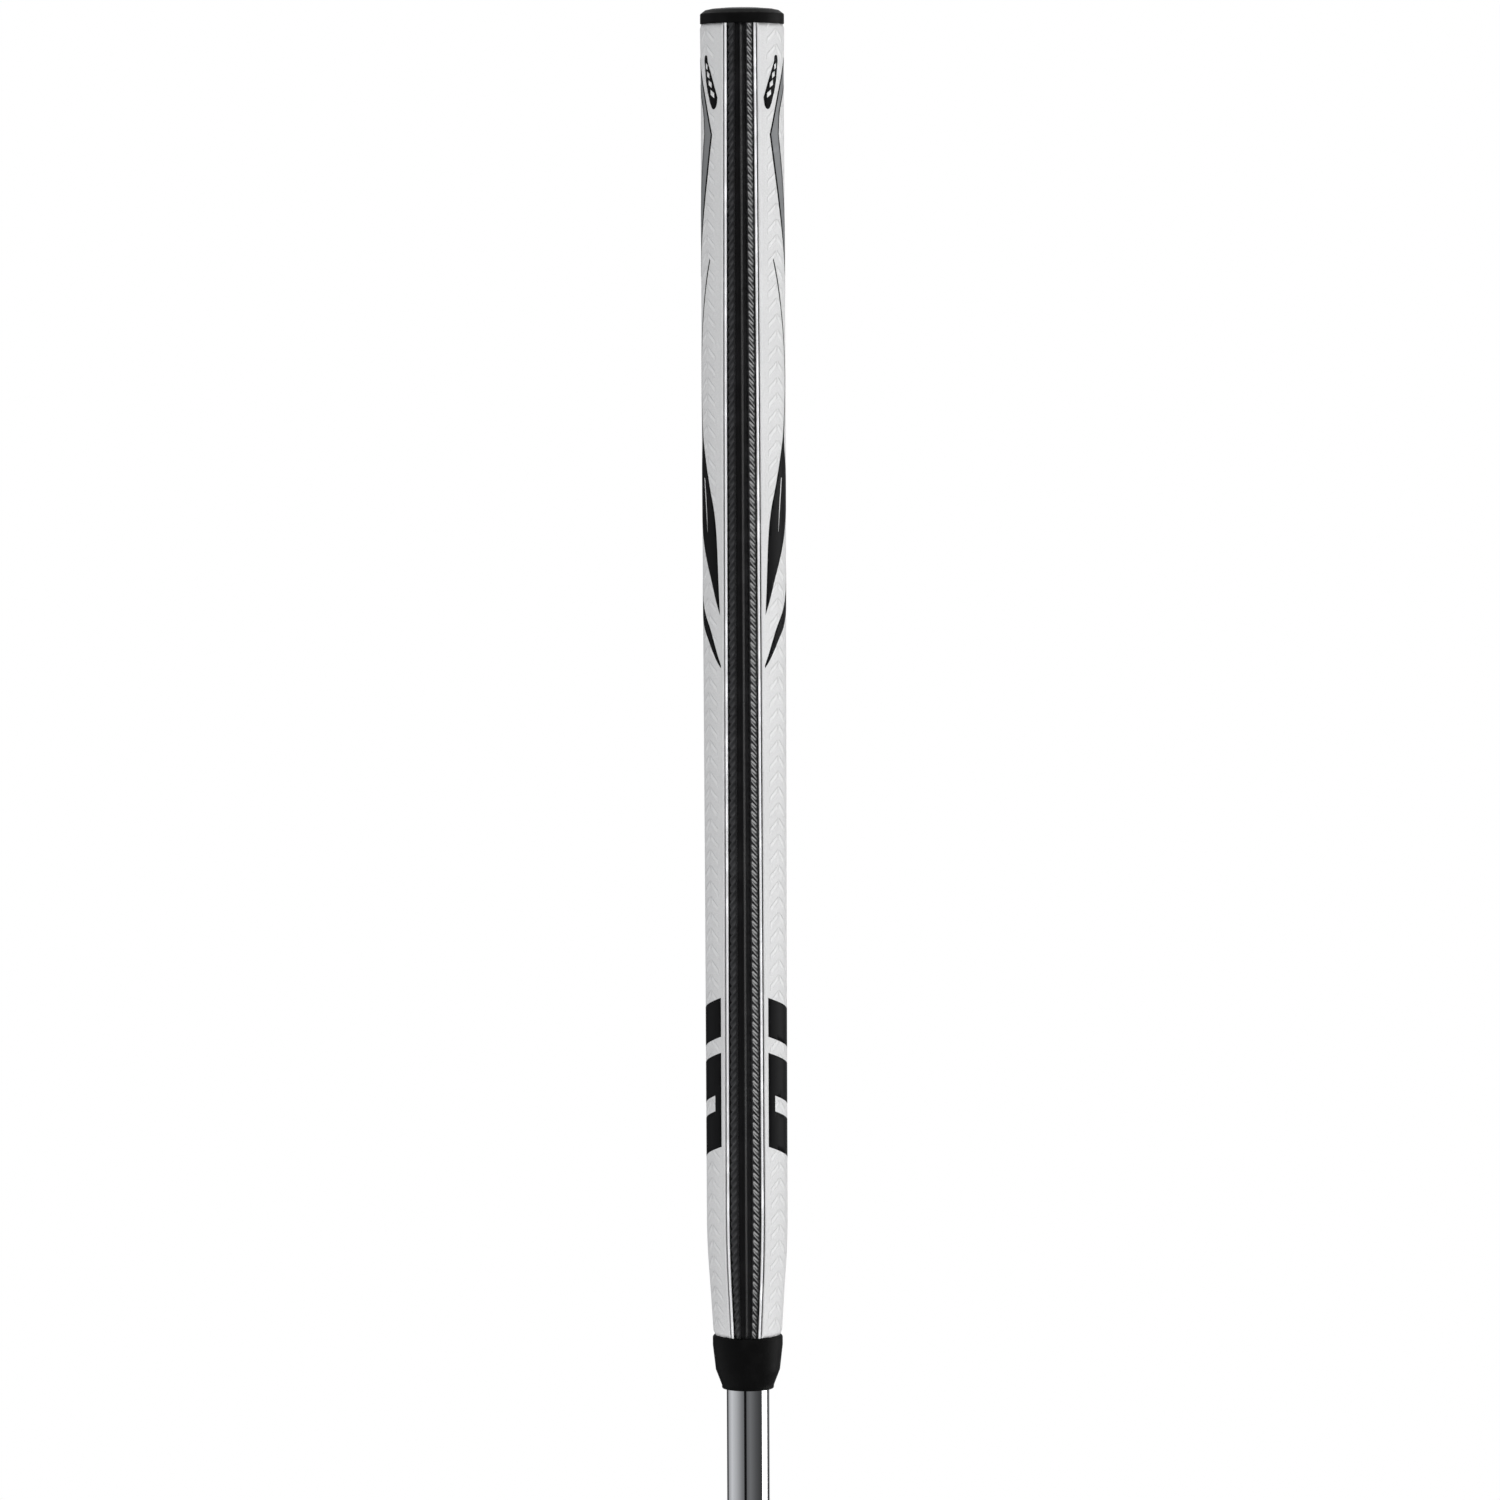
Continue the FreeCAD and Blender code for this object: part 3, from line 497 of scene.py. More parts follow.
def milled_face(name, color):
    """A flat face cut by a ball-nose tool: overlapping scallops under a satin anodise."""
    board = Finish(name, color, roughness=0.3, metallic=1.0)
    spots = board.spots()
    _, across, up = board.parts(spots)
    column = abs(across % SCALLOP_PITCH - SCALLOP_PITCH / 2) / SCALLOP_PITCH
    row = abs(up % SCALLOP_PITCH - SCALLOP_PITCH / 2) / SCALLOP_PITCH
    scallop = (column * column + row * row) * 2
    board.bump(scallop, 0.07 * MM, 0.8)
    board.feed("Base Color", board.mix(scallop.rise(0.3, 0.95), color, scaled(color, 0.7)))
    board.feed("Roughness", 0.24 + board.noise(spots, 6 * MM, 3.0) * 0.14)
    return board.material


PAPER_GLOW = 0.68


def studio_paper(name, color):
    """Matte paper that gives off a little light of its own."""
    board = Finish(name, color, roughness=0.8, specular=0.0)
    fibres = board.noise(board.spots(), 2.2 * MM, 3.0)
    board.bump(fibres, 0.05 * MM, 0.2)
    board.feed("Base Color", board.mix(fibres.rise(0.3, 0.8), color, scaled(color, 0.985)))
    board.feed("Emission Color", opaque(color))
    board.feed("Emission Strength", PAPER_GLOW)
    return board.material


# ---------------------------------------------------------------- mesh helpers

MERGE = 1e-7  # points nearer than this are one


def add_to_scene(name, data):
    thing = bpy.data.objects.new(name, data)
    bpy.context.scene.collection.objects.link(thing)
    return thing


def add_piece(name, mesh, material, nodes=()):
    """Links a finished mesh, already in place, to the scene and to the club."""
    mesh.materials.append(material)
    mesh.shade_smooth()
    piece = add_to_scene(name, mesh)
    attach(piece, CLUB)
    if nodes:
        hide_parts(*nodes)
    return piece


def placed_mesh(name, bm):
    """The mesh of a bmesh that was made in the shaft's frame, in its place on the club."""
    bmesh.ops.transform(bm, matrix=SHAFT_FRAME, verts=bm.verts)
    mesh = bpy.data.meshes.new(name)
    bm.to_mesh(mesh)
    bm.free()
    return mesh


def closed_mesh(name, bm):
    """Merges doubles and turns the faces outwards before a bmesh is placed."""
    bmesh.ops.remove_doubles(bm, verts=bm.verts, dist=MERGE)
    bmesh.ops.recalc_face_normals(bm, faces=bm.faces)
    return placed_mesh(name, bm)


def thicken(piece, depth):
    """Gives a sheet its wall, inwards from the face that shows."""
    wall = piece.modifiers.new("wall", "SOLIDIFY")
    wall.thickness = depth
    wall.offset = -1


def round_edges(piece, width, segments=3, angle=math.radians(35)):
    edge = piece.modifiers.new("edges", "BEVEL")
    edge.width = width
    edge.segments = segments
    edge.limit_method = "ANGLE"
    edge.angle_limit = angle
    edge.harden_normals = False
    edge.use_clamp_overlap = True


def sheet(columns, rows, shape):
    """A grid whose every point (across, along), each from -1 to 1, is moved by the shape."""
    bm = bmesh.new()
    bmesh.ops.create_grid(bm, x_segments=columns, y_segments=rows, size=1.0)
    for vertex in bm.verts:
        vertex.co = shape(vertex.co.x, vertex.co.y)
    return bm


def lathe(outline, segments):
    """A closed turned shape from (radius, height) points."""
    bm = bmesh.new()
    spots = [bm.verts.new((radius, 0, height)) for radius, height in outline]
    edges = [bm.edges.new(pair) for pair in zip(spots, spots[1:] + spots[:1])]
    bmesh.ops.spin(bm, geom=spots + edges, cent=(0, 0, 0), axis=(0, 0, 1), angle=math.tau,
                   steps=segments, use_merge=True)
    return bm


def turned_outline(node):
    """A hollow turned node's outline: up its outside and down its bore."""
    spots = rings(node)
    outside = [(max(radii), height) for height, radii in spots]
    bore = [(min(radii), height) for height, radii in spots if max(radii) - min(radii) > 0.3 * MM]
    return outside, bore[::-1]


def bulge(low, high, value):
    """A smooth hump from low to high that is 1 half-way."""
    share = (value - low) / (high - low)
    return math.sin(math.pi * share) if 0 < share < 1 else 0.0


CURVE_STEPS = 8


def curve_through(points):
    """Points of a smooth curve through the given ones, without its last."""
    ends = [points[0], *points, points[-1]]
    found = []
    for before, start, finish, after in zip(ends, ends[1:], ends[2:], ends[3:]):
        for k in range(CURVE_STEPS):
            share = k / CURVE_STEPS
            found.append(tuple(
                0.5 * (2 * b + (c - a) * share + (2 * a - 5 * b + 4 * c - d) * share ** 2
                       + (3 * b - a - 3 * c + d) * share ** 3)
                for a, b, c, d in zip(before, start, finish, after)))
    return found


# ---------------------------------------------------------------- grip pieces

LIP_ROLL = 0.25 * MM  # how far the wrap's edge rolls in beside the seam
END_DROP = 0.5 * MM  # how far the wrap's ends roll in
END_REACH = 0.8 * MM
HEM_EASE = 0.2 * MM
WRAP_WALL = 1.4 * MM
STRIP_WALL = 0.6 * MM
CORD_WALL = 0.3 * MM
CROWDING = 1.35  # crowds the wrap's columns towards the seam


def make_wrap(grip, white):
    """The white wrap: round, with a thumb flat at the back and a raised hem beside the seam."""
    opening = max(abs(spot.x) for spot in local_spots("seam_piping")) + 0.2 * MM
    margin = opening - max(half for _, half in STRIP_ROWS)

    def shape(across, along):
        height = up_wrap(along)
        radius = grip_radius(height)
        start = math.asin((strip_half(height) + margin) / radius)
        angle = math.pi - (math.pi - start) * (1 - (1 - abs(across)) ** CROWDING)
        from_edge = (angle - start) * radius
        from_end = min(height - WRAP_END, WRAP_TOP - height)
        hem = grip.hem_height * bulge(-HEM_EASE, grip.hem_width + HEM_EASE, from_edge)
        lip = LIP_ROLL * max(0.0, 1 - from_edge / LIP_ROLL) ** 2
        end = END_DROP * max(0.0, 1 - from_end / END_REACH) ** 2
        spot = on_grip(angle, height, hem - lip - end)
        return Vector((math.copysign(spot.x, across if across else 1), spot.y, spot.z))

    mesh = closed_mesh("wrap", sheet(128, 300, shape))
    thicken(add_piece("wrap", mesh, white, ["grip_wrap"]), WRAP_WALL)


BEAD_HEIGHT = 0.50 * MM  # the bead along the strip's middle
BEAD_HALF = 0.55 * MM
BED_DEPTH = 0.30 * MM  # the bed under the grip's surface, and as much again at its sides


def make_strip(grip, rubber):
    """The black strip: a centre bead and, on each side, a bed that falls away under a braided cord."""

    def shape(across, along):
        height = up_wrap(along)
        side = across * strip_half(height)
        width = abs(across) * grip.strip_half
        fall = max(0.0, (width - grip.cord_start) / (grip.strip_half - grip.cord_start))
        bead = BEAD_HEIGHT * bulge(-BEAD_HALF, BEAD_HALF, side)
        return on_grip(side / grip_radius(height), height, bead - BED_DEPTH * (1 + fall))

    mesh = closed_mesh("seam_strip_body", sheet(60, 400, shape))
    thicken(add_piece("seam_strip_body", mesh, rubber, ["seam_strip"]), STRIP_WALL)


CREST = -0.6  # where a cord is highest, from its inner side at -1 to its outer side at 1
CORD_SINK = 0.20 * MM  # a cord's sides under the grip's surface
LOW_STRAND = 0.35  # height of every other strand


def strand(turn):
    """A twisted strand's height over one turn of the cord: 0 in its grooves, 1 on its back."""
    return (math.sin(math.pi * turn) ** 2) ** 0.8


def make_cord(name, side, grip, rubber):
    """One braided cord of the strip: strands that slant down and outwards, every other one lower."""
    middle = (grip.cord_start + grip.cord_end) / 2
    reach = (grip.cord_end - grip.cord_start) / 2

    def shape(across, along):
        height = up_wrap(along)
        width = (middle + across * reach) * strip_half(height) / grip.strip_half
        turn = (BUTT - height - grip.braid_slant * across * reach) / grip.braid_pitch
        lump = max(strand(turn), LOW_STRAND * strand(turn + 0.5))
        lean = (across - CREST) / (1 - CREST if across > CREST else 1 + CREST)
        slope = 1 - lean ** 1.25 if lean > 0 else math.cos(math.pi / 2 * lean)
        lift = grip.braid_height * slope - CORD_SINK - grip.strand_depth * (1 - lump)
        return on_grip(side * width / grip_radius(height), height, lift)

    mesh = closed_mesh(name, sheet(16, 2000, shape))
    thicken(add_piece(name, mesh, rubber, ["seam_strip"]), CORD_WALL)


PIPING_STEPS = 160


def make_piping(grip, white):
    """The round white piping that fills the seam on each side of the strip."""
    edge = max(abs(spot.x) for spot in local_spots("seam_piping"))
    bead = (edge - max(half for _, half in STRIP_ROWS)) / 2
    rise = (WRAP_TOP - WRAP_END) / PIPING_STEPS
    bm = bmesh.new()
    for side in (-1, 1):
        ring = bmesh.ops.create_circle(bm, segments=12, radius=bead)["verts"]
        bmesh.ops.translate(bm, verts=ring, vec=(0, 0, WRAP_END))
        edges = list({edge for vertex in ring for edge in vertex.link_edges})
        for _ in range(PIPING_STEPS):
            grown = bmesh.ops.extrude_edge_only(bm, edges=edges)["geom"]
            edges = [item for item in grown if isinstance(item, bmesh.types.BMEdge)]
            moved = [item for item in grown if isinstance(item, bmesh.types.BMVert)]
            bmesh.ops.translate(bm, verts=moved, vec=(0, 0, rise))
        for vertex in (vertex for vertex in bm.verts if not vertex.tag):
            height = vertex.co.z
            angle = side * (strip_half(height) + bead) / grip_radius(height)
            vertex.co = on_grip(angle, height, -bead * 0.35) + Vector((vertex.co.x, vertex.co.y, 0))
            vertex.tag = True
    bmesh.ops.holes_fill(bm, edges=[e for e in bm.edges if e.is_boundary], sides=0)
    add_piece("piping", closed_mesh("piping", bm), white, ["seam_piping"])


PRINT_RADIUS = 13 * MM  # where a print's degrees are turned into a width
PRINT_CELL = 1.2 * MM  # a print is cut this fine round the grip, and three times as long
PRINT_ROOT = 0.05 * MM  # how deep a print goes into the wrap


def print_outline(chains):
    """Points round a print from smooth chains, each of which starts where the one before it ends."""
    outline = []
    start = chains[-1][-1]
    for chain in chains:
        turns = [(math.radians(angle) * PRINT_RADIUS, down * MM) for angle, down in (start, *chain)]
        outline += curve_through(turns)
        start = chain[-1]
    return [(arc, BUTT - down) for arc, down in outline]


def cut_up(part, reach, normal, step):
    """Cuts a flat shape across at even steps, so that it can bend."""
    low, high = min(reach), max(reach)
    for k in range(1, int((high - low) / step) + 1):
        whole = list(part.verts) + list(part.edges) + list(part.faces)
        bmesh.ops.bisect_plane(part, geom=whole, plane_co=Vector(normal) * (low + step * k),
                               plane_no=normal, dist=MERGE)


def print_sheet(name, chains, material, grip, nodes=(), lift=None):
    """A thin print on each side of the seam, from smooth chains of (degrees, distance from the butt)."""
    outline = print_outline(chains)
    lift = grip.print_lift if lift is None else lift
    bm = bmesh.new()
    for side in (-1, 1):
        part = bmesh.new()
        part.faces.new([part.verts.new((arc, height, 0)) for arc, height in outline])
        part.normal_update()
        bmesh.ops.triangulate(part, faces=part.faces)
        cut_up(part, [arc for arc, _ in outline], (1, 0, 0), PRINT_CELL)
        cut_up(part, [height for _, height in outline], (0, 1, 0), 3 * PRINT_CELL)
        for vertex in part.verts:
            vertex.co = on_grip(side * vertex.co.x / PRINT_RADIUS, vertex.co.y, lift)
        bmesh.ops.recalc_face_normals(part, faces=part.faces)
        if sum(face.normal.xy.dot(face.calc_center_median().xy) for face in part.faces) < 0:
            bmesh.ops.reverse_faces(part, faces=part.faces)
        spare = bpy.data.meshes.new("part")
        part.to_mesh(spare)
        part.free()
        bm.from_mesh(spare)
        bpy.data.meshes.remove(spare)
    piece = add_piece(name, placed_mesh(name, bm), material, nodes)
    thicken(piece, lift + PRINT_ROOT)


# each print's outline: chains of (degrees round from the seam, mm down from the butt)
WEDGE = [[(62, 26.1), (43.5, 39.5)], [(54.5, 53.2), (69.5, 68.0), (88, 83.3)], [(112, 103.2)],
         [(98, 83.3), (80, 60.6), (61, 39.4)], [(66, 31.0), (84, 24.0)], [(84, 15.6)]]
WEDGE_LINE = [[(62, 26.1), (43.5, 39.5)], [(54.5, 53.2), (69.5, 68.0), (88, 83.3)], [(90, 82.5)],
              [(71.5, 66.8), (57, 52.3), (46.2, 39.5)], [(63.5, 27.1), (84, 17.0)], [(84, 15.6)]]
WEDGE_EDGE = [[(80, 60.6), (98, 83.3)], [(99, 82.6)], [(81, 59.6), (62.6, 39.4)], [(67, 31.8), (84, 24.9)],
              [(84, 24.0)], [(66, 31.0), (61, 39.4)]]
SWOOSH = [[(57, 85.3), (68.5, 96.2), (77, 106.1), (80.5, 114.1), (78.5, 122.0), (72, 131.9), (61, 140.8),
           (52.6, 147.7), (43.4, 155.3), (38.7, 162.8), (36.4, 172.4), (35.0, 180.4), (33.2, 188.3)],
          [(40, 184.0), (52, 176.0), (71, 166.2), (94, 153.9)],
          [(90, 145.9), (80, 138.9), (76, 132.9), (81, 123.0), (83, 114.1), (79.3, 105.6), (70.2, 95.4),
           (58.5, 84.5), (49.6, 77.8)], [(48.5, 78.4)]]
SLIT = [[(61.5, 154.7), (57.5, 162.6)], [(59.8, 154.7), (64.6, 145.8)], [(66.5, 145.8)]]
LOWER_SWOOSH = [[(84, 181.2), (71, 186.6), (52, 192.9), (37, 201.2), (29, 205.6)],
                [(39, 202.8), (57, 196.4), (74, 191.8), (104, 182.9)], [(104, 168.9)]]
BADGE = [[(53.6, 15.3), (58.4, 15.2), (60.0, 16.8)], [(55.4, 23.8), (47.2, 29.7)],
         [(42.0, 31.7), (36.0, 31.0), (33.6, 28.2)], [(43.2, 22.0), (52.6, 16.9)]]
BADGE_BARS = [(54.2, 18.5, 1.7), (50.6, 21.1, 2.4), (46.6, 23.9, 2.9), (42.3, 27.0, 3.3)]
BAR_HALF = 0.75  # half a badge bar's height, in mm
BAR_SLANT = 0.16

# the blocks: their sides in degrees, their edges' slope in mm a degree, and their tops and feet
BLOCK_INNER, BLOCK_MIDDLE, BLOCK_OUTER = 35.5, 75, 118
NOTCH_INNER = 47.5
BLOCK_SLOPE = 0.079
UPPER_BLOCK = (307.7, 319.9)
LOWER_BLOCK = (324.9, 354.4)
NOTCH = (337.6, 342.5)


def block_corner(angle, start):
    """A point of a block's slanting edge, which starts at a distance from the butt."""
    return angle, start + (angle - BLOCK_INNER) * BLOCK_SLOPE


def block_outline(top, foot, notch=()):
    """A block round the grip, with a notch let in from its outer side where one is given."""
    slot = []
    if notch:
        slot = [[block_corner(BLOCK_OUTER, notch[0])], [block_corner(NOTCH_INNER, notch[0])],
                [block_corner(NOTCH_INNER, notch[1])], [block_corner(BLOCK_OUTER, notch[1])]]
    return [[block_corner(BLOCK_MIDDLE, top), block_corner(BLOCK_OUTER, top)], *slot,
            [block_corner(BLOCK_OUTER, foot)],
            [block_corner(BLOCK_MIDDLE, foot), block_corner(BLOCK_INNER, foot)],
            [block_corner(BLOCK_INNER, top)]]


def make_prints(grip, black, grey, white):
    """The printed shapes on the wrap, the same on both sides of the seam."""
    over = 2 * grip.print_lift
    print_sheet("wedge_print", WEDGE, grey, grip)
    print_sheet("wedge_line", WEDGE_LINE, black, grip, lift=over)
    print_sheet("wedge_edge", WEDGE_EDGE, black, grip, lift=over)
    print_sheet("swoosh_print", SWOOSH, black, grip)
    print_sheet("swoosh_slit", SLIT, white, grip, lift=over)
    print_sheet("lower_swoosh_print", LOWER_SWOOSH, black, grip)
    print_sheet("upper_block_print", block_outline(*UPPER_BLOCK), black, grip)
    print_sheet("lower_block_print", block_outline(*LOWER_BLOCK, NOTCH), black, grip)


def make_badges(grip, black, white):
    """Two tapered badges with a stack of plain bars in place of lettering."""
    print_sheet("badges", BADGE, black, grip, ["grip_badges"], lift=0.12 * MM)
    for number, (angle, down, width) in enumerate(BADGE_BARS, start=1):
        slant = width * BAR_SLANT
        bar = [[(angle + width, down - BAR_HALF - slant)], [(angle + width, down + BAR_HALF - slant)],
               [(angle - width, down + BAR_HALF + slant)], [(angle - width, down - BAR_HALF + slant)]]
        print_sheet(f"badge_bar_{number}", bar, white, grip, lift=0.17 * MM)


def make_end_cap(rubber, segments):
    """The black cap: a domed ring with a small step where it meets the wrap."""
    outside, bore = turned_outline("grip_end_cap")
    mesh = closed_mesh("end_cap", lathe(outside + bore, segments))
    piece = add_piece("end_cap", mesh, rubber, ["grip_end_cap"])
    round_edges(piece, 0.3 * MM, 4)


FOOT_ROUND = 0.6  # a lower power makes the collar's foot squarer


def make_collar(rubber, segments):
    """The black collar: a slightly proud lip, a gentle taper and a well rounded foot."""
    outside, bore = turned_outline("grip_collar")
    (foot_radius, foot), (waist_radius, waist) = outside[:2]
    turns = [math.pi / 2 * step / CURVE_STEPS for step in range(CURVE_STEPS + 1)]
    corner = [(foot_radius + (waist_radius - foot_radius) * math.sin(turn) ** FOOT_ROUND,
               waist - (waist - foot) * math.cos(turn) ** FOOT_ROUND) for turn in turns]
    mesh = closed_mesh("collar", lathe(corner + outside[2:] + bore, segments))
    piece = add_piece("collar", mesh, rubber, ["grip_collar"])
    round_edges(piece, 0.3 * MM, 4, math.radians(40))


def make_shaft(chrome, segments):
    """The chrome shaft, with a small round on each of its steps."""
    outside, bore = turned_outline("shaft")
    mesh = closed_mesh("shaft_tube", lathe(outside + bore, segments))
    piece = add_piece("shaft_tube", mesh, chrome, ["shaft"])
    round_edges(piece, 0.25 * MM, 3, math.radians(8))


# a trim groove's outline: how far in and how far up each point is
TRIM_GROOVE = [(0.02 * MM, 0.30 * MM), (0.30 * MM, 0.35 * MM), (0.32 * MM, 0.75 * MM), (0.06 * MM, 0.80 * MM)]


def make_ferrule(plastic, segments):
    """The black ferrule, with a thin trim groove above each ring in its lower half."""
    outside, bore = turned_outline("shaft_ferrule")
    low, high = outside[0][1], outside[-1][1]
    grooved = []
    for radius, height in outside:
        grooved.append((radius, height))
        if 0.2 < (height - low) / (high - low) < 0.5:
            grooved += [(radius - into, height + up) for into, up in TRIM_GROOVE]
    mesh = closed_mesh("ferrule", lathe(grooved + bore, segments))
    piece = add_piece("ferrule", mesh, plastic, ["shaft_ferrule"])
    round_edges(piece, 0.15 * MM, 2)


# ---------------------------------------------------------------- studio

def look_from(spot, target, up):
    """The matrix of a camera or light at a spot that looks at a target."""
    back = (spot - target).normalized()
    right = up.cross(back).normalized()
    turned = Matrix((right, back.cross(right), back)).transposed().to_4x4()
    turned.translation = spot
    return turned


def add_camera(studio):
    data = bpy.data.cameras.new("camera")
    data.sensor_width = 36
    data.lens = data.sensor_width * studio.distance / studio.view_width
    data.dof.use_dof = False
    target = Vector((studio.side_step, 0, BUTT - studio.view_height))
    above = studio.view_height - studio.eye_height
    spot = target + Matrix.Rotation(studio.yaw, 4, "Z") @ Vector((0, -studio.distance, above))
    roll = Matrix.Rotation(studio.roll, 4, "Z")
    camera = add_to_scene("camera", data)
    camera.matrix_world = SHAFT_FRAME @ look_from(spot, target, Vector((0, 0, 1))) @ roll
    bpy.context.scene.camera = camera


# the light panels: soft ones that only light, and narrow ones that only shine
SOFT = {"distance": 1.6, "size": (1.2, 0.9), "rise": 0.2, "shines": False}
EDGE = {"distance": 1.2, "size": (0.95, 1.6), "lights": False}
GLINT = {"distance": 1.2, "size": (0.90, 1.3), "lights": False}


def add_panel(name, angle, power, distance, size, rise=0.0, shines=True, lights=True):
    """A light panel beside the grip, its angle taken from the camera's side."""
    data = bpy.data.lights.new(name, "AREA")
    data.shape = "RECTANGLE"
    data.size, data.size_y = size
    data.energy = power
    target = Vector((0, 0, (BUTT + MOUTH) / 2))
    turn = math.radians(angle)
    spot = target + Vector((math.sin(turn) * distance, -math.cos(turn) * distance, rise))
    panel = add_to_scene(name, data)
    panel.matrix_world = SHAFT_FRAME @ look_from(spot, target, Vector((0, 0, 1)))
    panel.visible_glossy = shines
    panel.visible_diffuse = lights
    return panel


CEILING_SIZE = 2.6
CEILING_SPOT = (0, -0.1, 2.3)


def add_ceiling(power):
    data = bpy.data.lights.new("ceiling", "AREA")
    data.size = CEILING_SIZE
    data.energy = power
    add_to_scene("ceiling", data).location = CEILING_SPOT


# the room that a bright surface mirrors: degrees from the camera's side, to the right, and brightness
ROOM = [(-180, 0.55), (-160, 0.45), (-154, 0.03), (-134, 0.04), (-128, 0.36), (-95, 0.62), (-60, 0.42),
        (-30, 0.20), (-20, 0.16), (-18, 0.006), (-7, 0.006), (-4, 0.13), (13, 0.17), (45, 0.09), (72, 0.05),
        (148, 0.03), (158, 0.45), (180, 0.55)]
CARD_TINT = (0.985, 1, 1.03)


def add_world():
    """White to the eye, and bands of grey card round the shaft's axis to everything else."""
    world = bpy.data.worlds.new("studio")
    world.use_nodes = True
    world.node_tree.nodes.clear()
    board = Board(world.node_tree)
    directions = board.add("ShaderNodeTexCoord")
    across, depth, _ = board.parts(board.turned_spots(directions, (0, 0, 0), (LEAN, 0, 0)))
    turn = across.math("ARCTAN2", -depth)
    stops = [(angle / 360 + 0.5, opaque(scaled(CARD_TINT, brightness))) for angle, brightness in ROOM]
    bands = board.add("ShaderNodeValToRGB", {"stops": stops}, {0: turn / math.tau + 0.5})
    room = board.add("ShaderNodeBackground", sockets={"Color": bands})
    shown = board.add("ShaderNodeBackground", sockets={"Color": (1, 1, 1, 1)})
    both = board.add("ShaderNodeMixShader", sockets={0: board.add("ShaderNodeLightPath"), 1: room, 2: shown})
    board.add("ShaderNodeOutputWorld", sockets={0: both})
    bpy.context.scene.world = world


FLOOR_REACH = 20.0


def add_floor(paper):
    """A plain floor just under the sole."""
    bm = bmesh.new()
    bmesh.ops.create_grid(bm, x_segments=8, y_segments=8, size=FLOOR_REACH)
    mesh = bpy.data.meshes.new("floor")
    bm.to_mesh(mesh)
    bm.free()
    mesh.materials.append(paper)
    floor = add_to_scene("floor", mesh)
    floor.location.z = CAD_BOX[0].z - 0.2 * MM
    floor.visible_glossy = False
    return floor


def light_only(name, panels, pieces, state="INCLUDE"):
    """Lets the panels light only these pieces, or all but these."""
    group = bpy.data.collections.new(name)
    for piece in pieces:
        group.objects.link(piece)
    for entry in group.collection_objects:
        entry.light_linking.link_state = state
    for panel in panels:
        panel.light_linking.receiver_collection = group


# ---------------------------------------------------------------- operators

def finish_node(node, material):
    """Gives a carried-over node its finish."""
    slots = frame["nodes"][node].data.materials
    slots.clear()
    slots.append(material)


class PUTTER_OT_wrap(bpy.types.Operator):
    """Makes the white wrap and its piping, and finishes the core beneath them"""
    bl_idname = "putter.wrap"
    bl_label = "Grip wrap and piping"

    def execute(self, context):
        grip = context.scene.putter_grip
        make_wrap(grip, soft_wrap("white_wrap", grip.white, grip))
        white = moulded_rubber("white_piping", (0.90, 0.90, 0.91), 0.34, grain=0.3 * MM, depth=0.01 * MM)
        make_piping(grip, white)
        foam = moulded_rubber("foam_core", (0.06, 0.06, 0.062), 0.8, grain=0.6 * MM, depth=0.1 * MM)
        finish_node("grip_core", foam)
        tape = moulded_rubber("tape", (0.62, 0.58, 0.48), 0.7, grain=0.4 * MM, depth=0.04 * MM)
        finish_node("grip_tape", tape)
        return {"FINISHED"}


class PUTTER_OT_strip(bpy.types.Operator):
    """Makes the black seam strip with its braided cords"""
    bl_idname = "putter.strip"
    bl_label = "Seam strip"

    def execute(self, context):
        grip = context.scene.putter_grip
        rubber = moulded_rubber("strip_rubber", (0.005, 0.005, 0.0055), 0.45, grain=0.30 * MM,
                                depth=0.06 * MM, specular=0.2)
        make_strip(grip, rubber)
        cord = moulded_rubber("cord_rubber", (0.012, 0.012, 0.013), 0.30, grain=0.3 * MM,
                              depth=0.01 * MM, specular=0.7)
        make_cord("right_cord", 1, grip, cord)
        make_cord("left_cord", -1, grip, cord)
        return {"FINISHED"}


class PUTTER_OT_prints(bpy.types.Operator):
    """Makes the printed shapes and the badges on the wrap"""
    bl_idname = "putter.prints"
    bl_label = "Prints and badges"

    def execute(self, context):
        grip = context.scene.putter_grip
        black = screen_ink("black_ink", grip.black)
        white = screen_ink("white_ink", (0.78, 0.78, 0.78))
        make_prints(grip, black, screen_ink("grey_ink", grip.grey), white)
        make_badges(grip, black, white)
        return {"FINISHED"}


class PUTTER_OT_grip_ends(bpy.types.Operator):
    """Makes the end cap and the collar, and finishes the counterweight's pieces"""
    bl_idname = "putter.grip_ends"
    bl_label = "End cap, collar and counterweight"

    def execute(self, context):
        segments = context.scene.putter_grip.turned_segments
        rubber = moulded_rubber("cap_rubber", (0.004, 0.004, 0.004), 0.5, grain=0.35 * MM,
                                depth=0.03 * MM, specular=0.08)
        make_end_cap(rubber, segments)
        make_collar(rubber, segments)
        blacked = turned_metal("blacked_steel", (0.10, 0.10, 0.105), SCREW_SPOT, UP_SHAFT)
        finish_node("counterweight", blacked)
        alloy = turned_metal("sleeve_alloy", (0.72, 0.73, 0.75), SCREW_SPOT, UP_SHAFT)
        finish_node("butt_sleeve", alloy)
        finish_node("counterweight_seal", rubber)
        return {"FINISHED"}


class PUTTER_OT_shaft(bpy.types.Operator):
    """Makes the stepped chrome shaft and its ferrule"""
    bl_idname = "putter.shaft"
    bl_label = "Shaft and ferrule"

    def execute(self, context):
        segments = context.scene.putter_grip.turned_segments
        make_shaft(bright_chrome("shaft_chrome"), segments)
        plastic = moulded_rubber("ferrule_plastic", (0.012, 0.012, 0.013), 0.16, grain=0.5 * MM,
                                 depth=0.004 * MM)
        make_ferrule(plastic, segments)
        return {"FINISHED"}


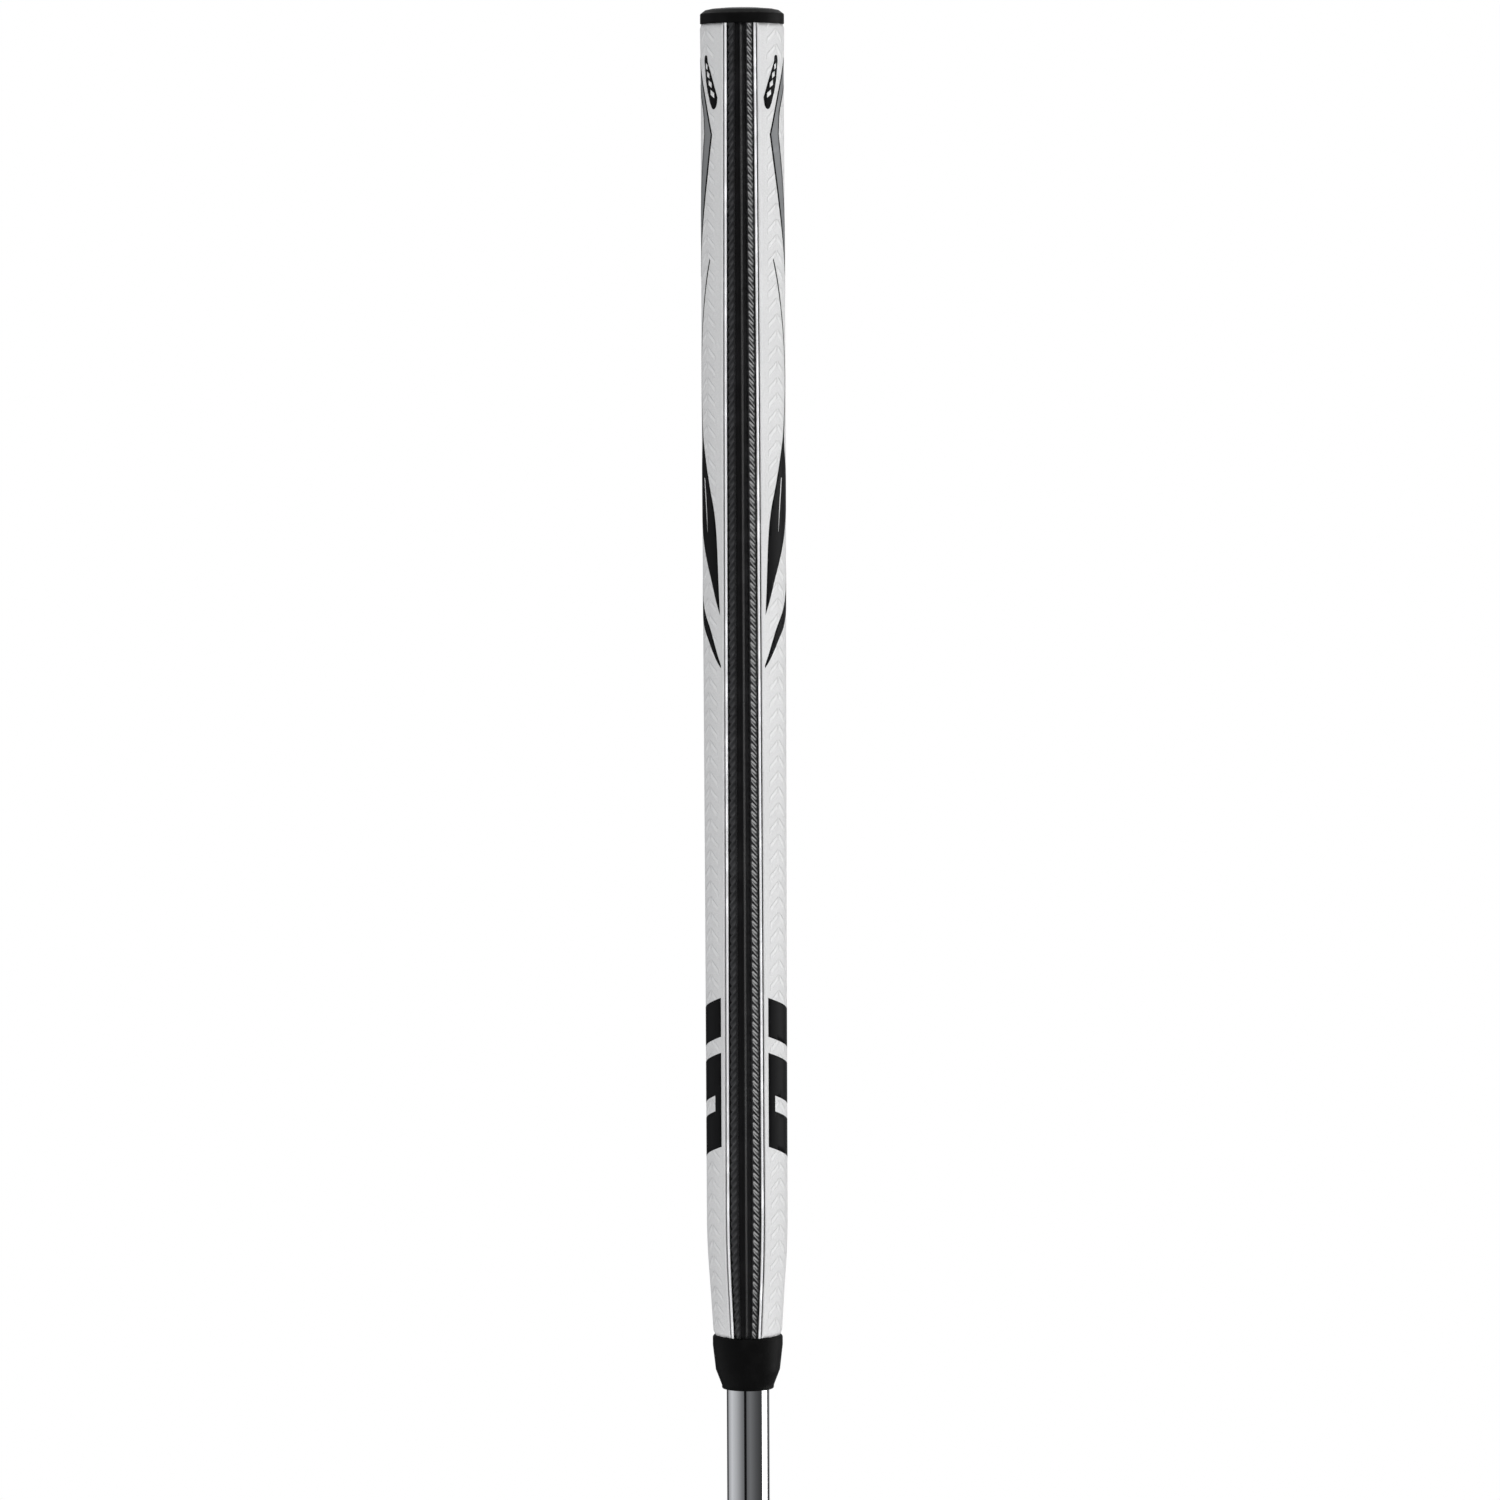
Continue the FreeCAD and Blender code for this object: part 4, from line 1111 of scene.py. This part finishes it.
class PUTTER_OT_head(bpy.types.Operator):
    """Finishes the head, its face, sole, neck and weights"""
    bl_idname = "putter.head"
    bl_label = "Head finishes"

    def execute(self, context):
        head = context.scene.putter_head
        steel = tuple(head.steel)
        finish_node("head_body", blasted_anodising("head_anodising", head.body, head.grain))
        finish_node("face_insert", milled_face("insert_alloy", (0.66, 0.67, 0.69)))
        finish_node("hosel_neck", brushed_metal("neck_steel", steel, (1, 1, 0.03), 0.26))
        finish_node("sole_plate", brushed_metal("sole_steel", steel, (1, 0.02, 1), 0.28))
        black = moulded_rubber("seal_rubber", (0.012, 0.012, 0.012))
        for node in ("insert_backing", "heel_weight_seal", "toe_weight_seal"):
            finish_node(node, black)
        finish_node("sight_lines", screen_ink("line_paint", (0.82, 0.82, 0.82)))
        dark = brushed_metal("screw_steel", (0.30, 0.30, 0.31), (1, 1, 1), 0.3)
        finish_node("neck_screw", dark)
        finish_node("sole_plate_screws", dark)
        for node in ("heel_weight", "toe_weight"):
            low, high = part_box(node)
            finish_node(node, turned_metal(node + "_steel", steel, (low + high) / 2, Vector((0, 0, 1))))
        return {"FINISHED"}


class PUTTER_OT_studio(bpy.types.Operator):
    """Sets the camera, the lights and the floor"""
    bl_idname = "putter.studio"
    bl_label = "Studio"

    def execute(self, context):
        studio = context.scene.putter_studio
        add_camera(studio)
        add_world()
        key = add_panel("key", 52, studio.key, **SOFT)
        fill = add_panel("fill", -70, studio.fill, **SOFT)
        add_panel("edge", 105.5, studio.edge, **EDGE)
        glint = add_panel("glint", 64, studio.glint, **GLINT)
        light_only("braided", [glint], [bpy.data.objects[name] for name in ("right_cord", "seam_strip_body")])
        add_ceiling(studio.ceiling)
        floor = add_floor(studio_paper("floor_paper", (0.86, 0.86, 0.86)))
        light_only("all_but_floor", [key, fill], [floor], "EXCLUDE")
        context.scene.view_settings.view_transform = "Standard"
        return {"FINISHED"}


class PUTTER_PT_looks(bpy.types.Panel):
    """Lists the putter's pieces in the order in which they are made"""
    bl_label = "Mallet Putter"
    bl_idname = "PUTTER_PT_looks"
    bl_space_type = "VIEW_3D"
    bl_region_type = "UI"
    bl_category = "Putter"

    def draw(self, context):
        for operator in OPERATORS:
            self.layout.operator(operator.bl_idname)


GROUPS = {"putter_grip": GripSizes, "putter_head": HeadSizes, "putter_studio": StudioSizes}
OPERATORS = [PUTTER_OT_wrap, PUTTER_OT_strip, PUTTER_OT_prints, PUTTER_OT_grip_ends, PUTTER_OT_shaft,
             PUTTER_OT_head, PUTTER_OT_studio]


def register():
    for item in [*GROUPS.values(), *OPERATORS, PUTTER_PT_looks]:
        bpy.utils.register_class(item)
    for name, group in GROUPS.items():
        setattr(bpy.types.Scene, name, PointerProperty(type=group))


def unregister():
    for name in GROUPS:
        delattr(bpy.types.Scene, name)
    for item in reversed([*GROUPS.values(), *OPERATORS, PUTTER_PT_looks]):
        bpy.utils.unregister_class(item)


def main():
    register()
    for operator in OPERATORS:
        group, name = operator.bl_idname.split(".")
        getattr(getattr(bpy.ops, group), name)()


if __name__ == "__main__":
    main()
